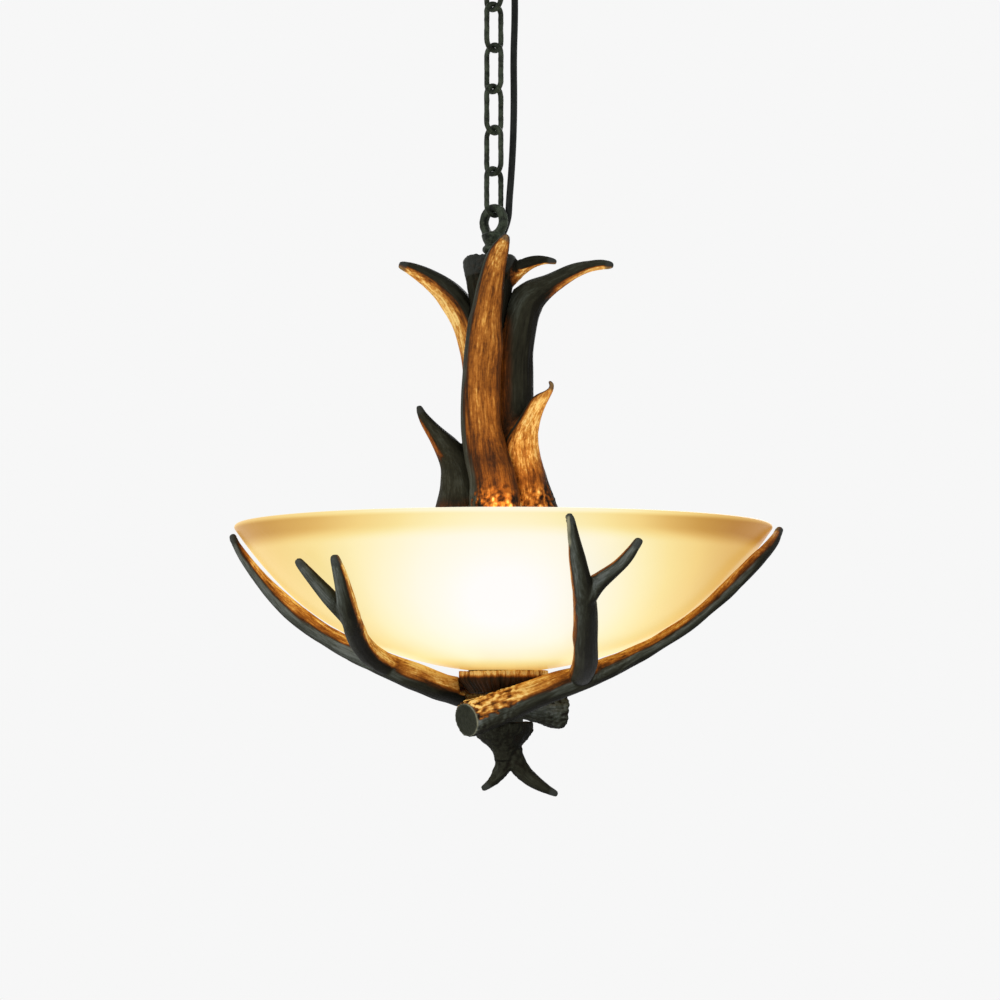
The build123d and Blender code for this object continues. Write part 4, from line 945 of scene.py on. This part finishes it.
class PENDANT_OT_finial(bpy.types.Operator):
    """The finial under the hub and the toothed rosette above it"""

    bl_idname = "pendant.finial"
    bl_label = "Finial and rosette"

    def execute(self, context):
        sizes = context.scene.pendant_sizes
        groove = sizes.groove_depth / MM
        dim = [facing((0, -0.2, 1), 0.7, 1.0, 0.22)]
        thing = carve(
            "finial", "finial_burr", [FINIAL_CORE, FINIAL_LEFT, FINIAL_RIGHT], None,
            sizes.antler_grid * 0.85, groove * 0.6, [((8, 0, -702), 50, 0.85)], 4.2,
            {0: dim, 1: dim, 2: dim}, 0.6,
        )
        # The burr's foot is drawn in to the left horn's side, then smoothed
        points = points_of(thing)
        height = points[:, 2] / MM
        past = np.clip((BOWL_X - 7.5) * MM - points[:, 0], 0, None)
        past = past * (1 - ease(BURR_FOOT_Z, BURR_FOOT_Z + 18, height))
        past = past * ease(BURR_FOOT_Z - 4, BURR_FOOT_Z - 1, height)
        points[:, 0] += past
        move_points(thing, points)
        foot = thing.vertex_groups.new(name="foot")
        foot.add(np.flatnonzero(np.abs(height - BURR_FOOT_Z) < 7).tolist(), 1.0, "REPLACE")
        applied(thing, "SMOOTH", factor=0.5, iterations=24, vertex_group="foot")
        thing.vertex_groups.clear()
        thing = carve(
            "hub_rosette", "hub_rosette_teeth", [ROSETTE_CORE], None,
            sizes.antler_grid * 0.6, groove * 0.3, [((8, 0, -658), 60, 0.18)], 3.0,
            {0: [above(-656.5, -650.5, 0.95), above(-700, -690, 0.22)]}, 0.6,
        )
        # The rosette narrows below its teeth
        points = points_of(thing)
        narrowed = 1 - 0.22 * ease(-655, -667, points[:, 2] / MM)
        points[:, 0] = BOWL_X * MM + (points[:, 0] - BOWL_X * MM) * narrowed
        points[:, 1] *= narrowed
        move_points(thing, points)
        return {"FINISHED"}


class PENDANT_OT_chain(bpy.types.Operator):
    """The chain's links, the loop above them and the eye below"""

    bl_idname = "pendant.chain"
    bl_label = "Chain, loop and eye"

    def execute(self, context):
        sizes = context.scene.pendant_sizes
        links = [(f"chain_link_{count}", f"link_{count}") for count in range(1, 7)]
        for node, body in links + [("canopy_loop", "ceiling"), ("hanging_eye", "lamp")]:
            thing = merged_copy(node, node + "_cast")
            applied(thing, "REMESH", mode="VOXEL", voxel_size=sizes.metal_grid, use_smooth_shade=True)
            applied(thing, "SMOOTH", factor=0.5, iterations=2)
            points = points_of(thing)
            rough = (mottle(points, 3.4 * MM, 5) - 0.5) * 0.34 + (mottle(points, 1.5 * MM, 9) - 0.5) * 0.16
            if node == "hanging_eye":
                rough = rough * 1.8
            move_points(thing, points + normals_of(thing) * ((rough + 0.12) * MM)[:, None])
            finish_piece(thing, "bronze_metal", body)
            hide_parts(node)
        return {"FINISHED"}


# The glass bowl's profile: points along the outside, round the lip and along the inside
OUTER_STEPS, LIP_STEPS, INNER_STEPS = 56, 7, 50


class PENDANT_OT_bowl(bpy.types.Operator):
    """The frosted glass bowl: an even wall with a slight belly and a rounded lip"""

    bl_idname = "pendant.bowl"
    bl_label = "Glass bowl"

    def execute(self, context):
        sizes = context.scene.pendant_sizes
        low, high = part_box("glass_bowl")
        centre_x = (low.x + high.x) / 2
        rim_r = (high.x - low.x) / 2
        hole_r = sizes.bowl_hole
        belly = sizes.bowl_belly
        wall = GLASS_WALL * MM
        sphere_r = SPHERE_R * MM
        centre_z = SPHERE_Z * MM
        rim_angle = math.asin(rim_r / sphere_r)
        lip = wall * 0.46
        last = rim_angle - lip / sphere_r * 1.1

        def on_wall(radius, share):
            """A point of one face, at a share of the way from the hole to the lip."""
            first = math.asin(hole_r / radius)
            turn = first + (last - first) * share
            reach = radius + belly * math.sin(math.pi * min(max((share - 0.2) / 0.78, 0), 1)) ** 2
            return reach * math.sin(turn), centre_z - reach * math.cos(turn)

        profile = [on_wall(sphere_r, share) for share in np.linspace(0, 1, OUTER_STEPS)]
        lip_r, lip_z = profile[-1]
        for share in np.linspace(0.12, 0.88, LIP_STEPS):
            swing = share * math.pi
            along = lip * math.sin(swing)
            inward = wall * (1 - math.cos(swing)) / 2
            profile.append(
                (
                    lip_r + along * math.cos(last) - inward * math.sin(last),
                    lip_z + along * math.sin(last) + inward * math.cos(last),
                )
            )
        profile += [on_wall(sphere_r - wall, share) for share in np.linspace(1, 0, INNER_STEPS)]
        alone()
        start_r, start_z = profile[0]
        bpy.ops.mesh.primitive_circle_add(
            vertices=sizes.bowl_sides, radius=start_r, location=(centre_x, 0, start_z)
        )
        bowl = bpy.context.object
        bowl.name = "glass_bowl_frosted"
        bpy.ops.object.mode_set(mode="EDIT")
        bpy.ops.mesh.select_all(action="SELECT")
        for (old_r, old_z), (new_r, new_z) in zip(profile, profile[1:] + profile[:1]):
            bpy.ops.mesh.extrude_edges_move(TRANSFORM_OT_translate={"value": (0, 0, new_z - old_z)})
            size = new_r / old_r
            bpy.ops.transform.resize(value=(size, size, 1), center_override=(centre_x, 0, new_z))
        bpy.ops.mesh.select_all(action="SELECT")
        bpy.ops.mesh.remove_doubles(threshold=WELD)
        bpy.ops.mesh.normals_make_consistent(inside=False)
        bpy.ops.object.mode_set(mode="OBJECT")
        bpy.ops.object.transform_apply(location=True, rotation=True, scale=True)
        bpy.ops.object.shade_smooth()
        finish_piece(bowl, "amber_glass", "lamp")
        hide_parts("glass_bowl")
        for turn in BULB_TURNS:
            lamp = bpy.data.lights.new(f"bulb_light_{turn}", "POINT")
            lamp.energy = sizes.bulb_power
            lamp.color = shade(255, 196, 120)
            lamp.shadow_soft_size = 0.03
            holder = bpy.data.objects.new(lamp.name, lamp)
            context.scene.collection.objects.link(holder)
            holder.location = (*round_axis(LAMP_REACH, turn), (RIM_Z - LAMP_DROP) * MM)
            holder.parent = bowl
            holder.matrix_parent_inverse = Matrix.Identity(4)
        return {"FINISHED"}


# The supply cord, in metres: its route and a piece's length
CORD_ROUTE = [
    (0.0175, 0.014, -0.031),
    (0.0175, 0.014, -0.060),
    (0.0179, 0.0134, -0.094),
    (0.0166, 0.0118, -0.130),
    (0.0171, 0.0096, -0.166),
    (0.0164, 0.0074, -0.201),
    (0.0148, 0.0054, -0.231),
    (0.0129, 0.0037, -0.255),
    (0.01225, 0.00258, -0.27148),
    (0.0076, 0.0016, -0.2825),
]
CORD_PIECE = 0.0350
CORD_STEPS = 48
CORD_SIDES = 20


def cord_line():
    """The cord's own line: its route as the control points of one smooth spline, read back."""
    curve = bpy.data.curves.new("cord_route", "CURVE")
    curve.dimensions = "3D"
    curve.resolution_u = CORD_STEPS
    spline = curve.splines.new("NURBS")
    spline.points.add(len(CORD_ROUTE) - 1)
    for point, place in zip(spline.points, CORD_ROUTE):
        point.co = (*place, 1)
    spline.order_u = 3
    spline.use_endpoint_u = True
    route = bpy.data.objects.new("cord_route", curve)
    bpy.context.scene.collection.objects.link(route)
    bpy.context.view_layer.update()
    seen = route.evaluated_get(bpy.context.evaluated_depsgraph_get())
    mesh = bpy.data.meshes.new_from_object(seen)
    line = np.array([tuple(vertex.co) for vertex in mesh.vertices])
    bpy.data.objects.remove(route)
    bpy.data.meshes.remove(mesh)
    return line


def tube_along(name, line, radius, sides):
    """A closed round tube that follows a line."""
    run = unit(np.gradient(line, axis=0))
    across = unit(np.cross(run, np.array([0.0, 1.0, 0.0])))
    other = np.cross(run, across)
    turns = np.linspace(0, 2 * math.pi, sides, endpoint=False)
    rings = line[:, None] + radius * (
        across[:, None] * np.cos(turns)[None, :, None] + other[:, None] * np.sin(turns)[None, :, None]
    )
    faces = []
    for ring in range(len(line) - 1):
        for side in range(sides):
            after = (side + 1) % sides
            low, high = ring * sides, (ring + 1) * sides
            faces.append((low + side, low + after, high + after, high + side))
    faces.append(tuple(reversed(range(sides))))
    faces.append(tuple((len(line) - 1) * sides + side for side in range(sides)))
    mesh = bpy.data.meshes.new(name)
    mesh.from_pydata([tuple(point) for point in rings.reshape(-1, 3)], [], faces)
    thing = bpy.data.objects.new(name, mesh)
    bpy.context.scene.collection.objects.link(thing)
    alone(thing)
    bpy.ops.object.mode_set(mode="EDIT")
    bpy.ops.mesh.select_all(action="SELECT")
    bpy.ops.mesh.normals_make_consistent(inside=False)
    bpy.ops.object.mode_set(mode="OBJECT")
    bpy.ops.object.shade_smooth_by_angle(angle=math.radians(50))
    return thing


class PENDANT_OT_cord(bpy.types.Operator):
    """The supply cord, one length cut into pieces a link's length apart"""

    bl_idname = "pendant.cord"
    bl_label = "Supply cord"

    def execute(self, context):
        sizes = context.scene.pendant_sizes
        line = cord_line()
        along = np.concatenate([[0], np.cumsum(np.linalg.norm(np.diff(line, axis=0), axis=1))])
        ends = along[-1] - CORD_PIECE * np.arange(6, -1, -1)
        starts = np.concatenate([[0], ends[:-1]])
        for count, (start, end) in enumerate(zip(starts, ends)):
            corners = [
                [np.interp(mark, along, line[:, axis]) for axis in range(3)] for mark in (start, end)
            ]
            between = line[(along > start + 1e-5) & (along < end - 1e-5)]
            inside = np.vstack([corners[:1], between, corners[1:]])
            piece = tube_along(f"supply_cord_{count + 1}", inside, sizes.cord_width / 2, CORD_SIDES)
            finish_piece(piece, "cord_jacket")
            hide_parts("supply_cord")
            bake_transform(piece)
        return {"FINISHED"}


# Nodes that keep their shape and take a finish
NODE_FINISHES = {
    "bronze_metal": ("canopy", "cap_nuts"),
    "zinc_steel": (
        "ceiling_bracket", "canopy_studs", "canopy_nipple", "bracket_nut", "stem_tube", "trunk_plate",
        "trunk_nut", "trunk_screws", "cluster_body", "cluster_cover", "rod_nut", "centre_rod",
    ),
    "dark_steel": (
        "clamp_washer", "clamp_nut", "arm_bracket", "arm_nut", "arm_screws", "finial_spacer",
    ),
    "brass": ("finial_insert", "holder_contacts", "holder_nipples"),
    "terminal_plastic": ("terminal_block",),
    "cord_jacket": ("cord_gland", "canopy_lead", "stem_lead", "lamp_leads"),
    "holder_plastic": ("lamp_holder_1", "lamp_holder_2", "lamp_holder_3"),
    "cap_metal": ("bulb_cap_1", "bulb_cap_2", "bulb_cap_3"),
    "lamp_glass": ("bulb_glass_1", "bulb_glass_2", "bulb_glass_3"),
    "gasket_rubber": ("inner_gasket", "outer_gasket"),
}


class PENDANT_OT_fittings(bpy.types.Operator):
    """Finishes for the canopy, bracket, fasteners, wiring, holders and bulbs"""

    bl_idname = "pendant.fittings"
    bl_label = "Fittings"

    def execute(self, context):
        for slot, nodes in NODE_FINISHES.items():
            for node in nodes:
                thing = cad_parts[node]
                for place in thing.material_slots:
                    place.material = finishes()[slot]
        return {"FINISHED"}


# The stage, in metres and degrees
CAMERA_LENS = 95.50
CAMERA_PLACE = (0.0052, -2.2, -0.674)
CAMERA_TURN = 94.35
FLOOR_R = 2.0
FLOOR_Z = -1.25
LIGHT_AIM = Vector((0, 0, -0.5))
# Each light's name, place, size and power
LIGHTS = (
    ("key_light", (-1.5, -1.9, 0.5), 1.3, 26),
    ("fill_light", (1.9, -1.3, -0.1), 1.3, 10),
    ("back_light", (0.4, 2.2, 0.5), 1.4, 18),
)


class PENDANT_OT_stage(bpy.types.Operator):
    """The camera, the pale floor, the lamps and the plain background"""

    bl_idname = "pendant.stage"
    bl_label = "Stage"

    def execute(self, context):
        scene = context.scene
        colours = scene.pendant_colours
        scene.view_settings.view_transform = "Standard"
        camera = bpy.data.cameras.new("photo_camera")
        camera.sensor_width = 36
        camera.lens = CAMERA_LENS
        camera.clip_start = 0.01
        camera.clip_end = 60
        holder = bpy.data.objects.new("photo_camera", camera)
        holder.location = CAMERA_PLACE
        holder.rotation_euler = (math.radians(CAMERA_TURN), 0, 0)
        scene.collection.objects.link(holder)
        scene.camera = holder

        world = bpy.data.worlds.new("studio")
        world.use_nodes = True
        scene.world = world
        nodes, links = world.node_tree.nodes, world.node_tree.links
        shown = nodes["Background"]
        shown.inputs["Color"].default_value = (*colours.backdrop, 1)
        shown.inputs["Strength"].default_value = 1
        soft = nodes.new("ShaderNodeBackground")
        soft.inputs["Color"].default_value = (0.93, 0.95, 1.0, 1)
        soft.inputs["Strength"].default_value = 0.62
        path = nodes.new("ShaderNodeLightPath")
        seen = nodes.new("ShaderNodeMath")
        seen.operation = "MAXIMUM"
        links.new(path.outputs["Is Camera Ray"], seen.inputs[0])
        links.new(path.outputs["Is Transmission Ray"], seen.inputs[1])
        either = nodes.new("ShaderNodeMath")
        either.operation = "MAXIMUM"
        links.new(seen.outputs[0], either.inputs[0])
        links.new(path.outputs["Is Glossy Ray"], either.inputs[1])
        blend = nodes.new("ShaderNodeMixShader")
        links.new(either.outputs[0], blend.inputs[0])
        links.new(soft.outputs[0], blend.inputs[1])
        links.new(shown.outputs[0], blend.inputs[2])
        links.new(blend.outputs[0], nodes["World Output"].inputs["Surface"])

        alone()
        bpy.ops.mesh.primitive_circle_add(
            vertices=64, radius=FLOOR_R, fill_type="NGON", location=(0, 0, FLOOR_Z)
        )
        floor = bpy.context.object
        floor.name = "studio_floor"
        bpy.ops.object.transform_apply(location=True)
        finish = Finish("studio_floor", Roughness=0.9)
        finish.shader.inputs["Specular IOR Level"].default_value = 0.1
        spots = finish.noise(finish.place(), 3, 2, 0.5)
        finish.set(Base_Color=finish.mix(spots, (0.93, 0.93, 0.93, 1), (0.95, 0.95, 0.95, 1)))
        floor.data.materials.append(finish.material)

        for name, place, size, power in LIGHTS:
            light = bpy.data.lights.new(name, "AREA")
            light.size = size
            light.energy = power
            thing = bpy.data.objects.new(name, light)
            thing.location = place
            thing.rotation_euler = (LIGHT_AIM - Vector(place)).to_track_quat("-Z", "Y").to_euler()
            scene.collection.objects.link(thing)
        return {"FINISHED"}


# Settings and panel
class PendantSizes(bpy.types.PropertyGroup):
    antler_grid: FloatProperty(
        name="Antler grid", description="Spacing of the points on the antlers", default=0.0011,
        min=0.0005, max=0.004, unit="LENGTH",
    )
    metal_grid: FloatProperty(
        name="Metal grid", description="Spacing of the points on the chain and the eye",
        default=0.00055, min=0.0003, max=0.002, unit="LENGTH",
    )
    groove_depth: FloatProperty(
        name="Groove depth", description="Depth of the grooves along the antlers", default=0.0006,
        min=0.0, max=0.002, unit="LENGTH",
    )
    bowl_hole: FloatProperty(
        name="Bowl hole", description="Radius of the hole at the bowl's bottom", default=0.0075,
        min=0.006, max=0.02, unit="LENGTH",
    )
    bowl_belly: FloatProperty(
        name="Bowl belly", description="How far the bowl's flank swells past a plain sphere",
        default=0.0023, min=0.0, max=0.003, unit="LENGTH",
    )
    bowl_sides: IntProperty(
        name="Bowl sides", description="Points round the bowl", default=192, min=48, max=400
    )
    cord_width: FloatProperty(
        name="Cord width", description="The supply cord's diameter", default=0.0058,
        min=0.004, max=0.009, unit="LENGTH",
    )
    bulb_power: FloatProperty(
        name="Bulb power", description="Warm light that rises out of the bowl, in watts",
        default=0.18, min=0.0, max=10.0,
    )


class PendantColours(bpy.types.PropertyGroup):
    backdrop: FloatVectorProperty(
        name="Backdrop", description="Colour behind the pendant", default=(0.9301, 0.9301, 0.9301),
        min=0.0, max=1.0, size=3, subtype="COLOR",
    )


STEPS = (
    PENDANT_OT_stage,
    PENDANT_OT_cord,
    PENDANT_OT_chain,
    PENDANT_OT_trunk,
    PENDANT_OT_arms,
    PENDANT_OT_finial,
    PENDANT_OT_bowl,
    PENDANT_OT_fittings,
)


class PENDANT_PT_panel(bpy.types.Panel):
    bl_idname = "PENDANT_PT_panel"
    bl_label = "Antler Pendant"
    bl_space_type = "VIEW_3D"
    bl_region_type = "UI"
    bl_category = "Pendant"

    def draw(self, context):
        for group in (context.scene.pendant_sizes, context.scene.pendant_colours):
            for name in group.__annotations__:
                self.layout.prop(group, name)
        for step in STEPS:
            self.layout.operator(step.bl_idname)


CLASSES = (PendantSizes, PendantColours, *STEPS, PENDANT_PT_panel)


def register():
    for item in CLASSES:
        bpy.utils.register_class(item)
    bpy.types.Scene.pendant_sizes = PointerProperty(type=PendantSizes)
    bpy.types.Scene.pendant_colours = PointerProperty(type=PendantColours)


def unregister():
    del bpy.types.Scene.pendant_colours
    del bpy.types.Scene.pendant_sizes
    for item in reversed(CLASSES):
        bpy.utils.unregister_class(item)


def main():
    """Builds every piece."""
    register()
    bpy.ops.pendant.stage()
    bpy.ops.pendant.cord()
    bpy.ops.pendant.chain()
    bpy.ops.pendant.trunk()
    bpy.ops.pendant.arms()
    bpy.ops.pendant.finial()
    bpy.ops.pendant.bowl()
    bpy.ops.pendant.fittings()


if __name__ == "__main__":
    main()
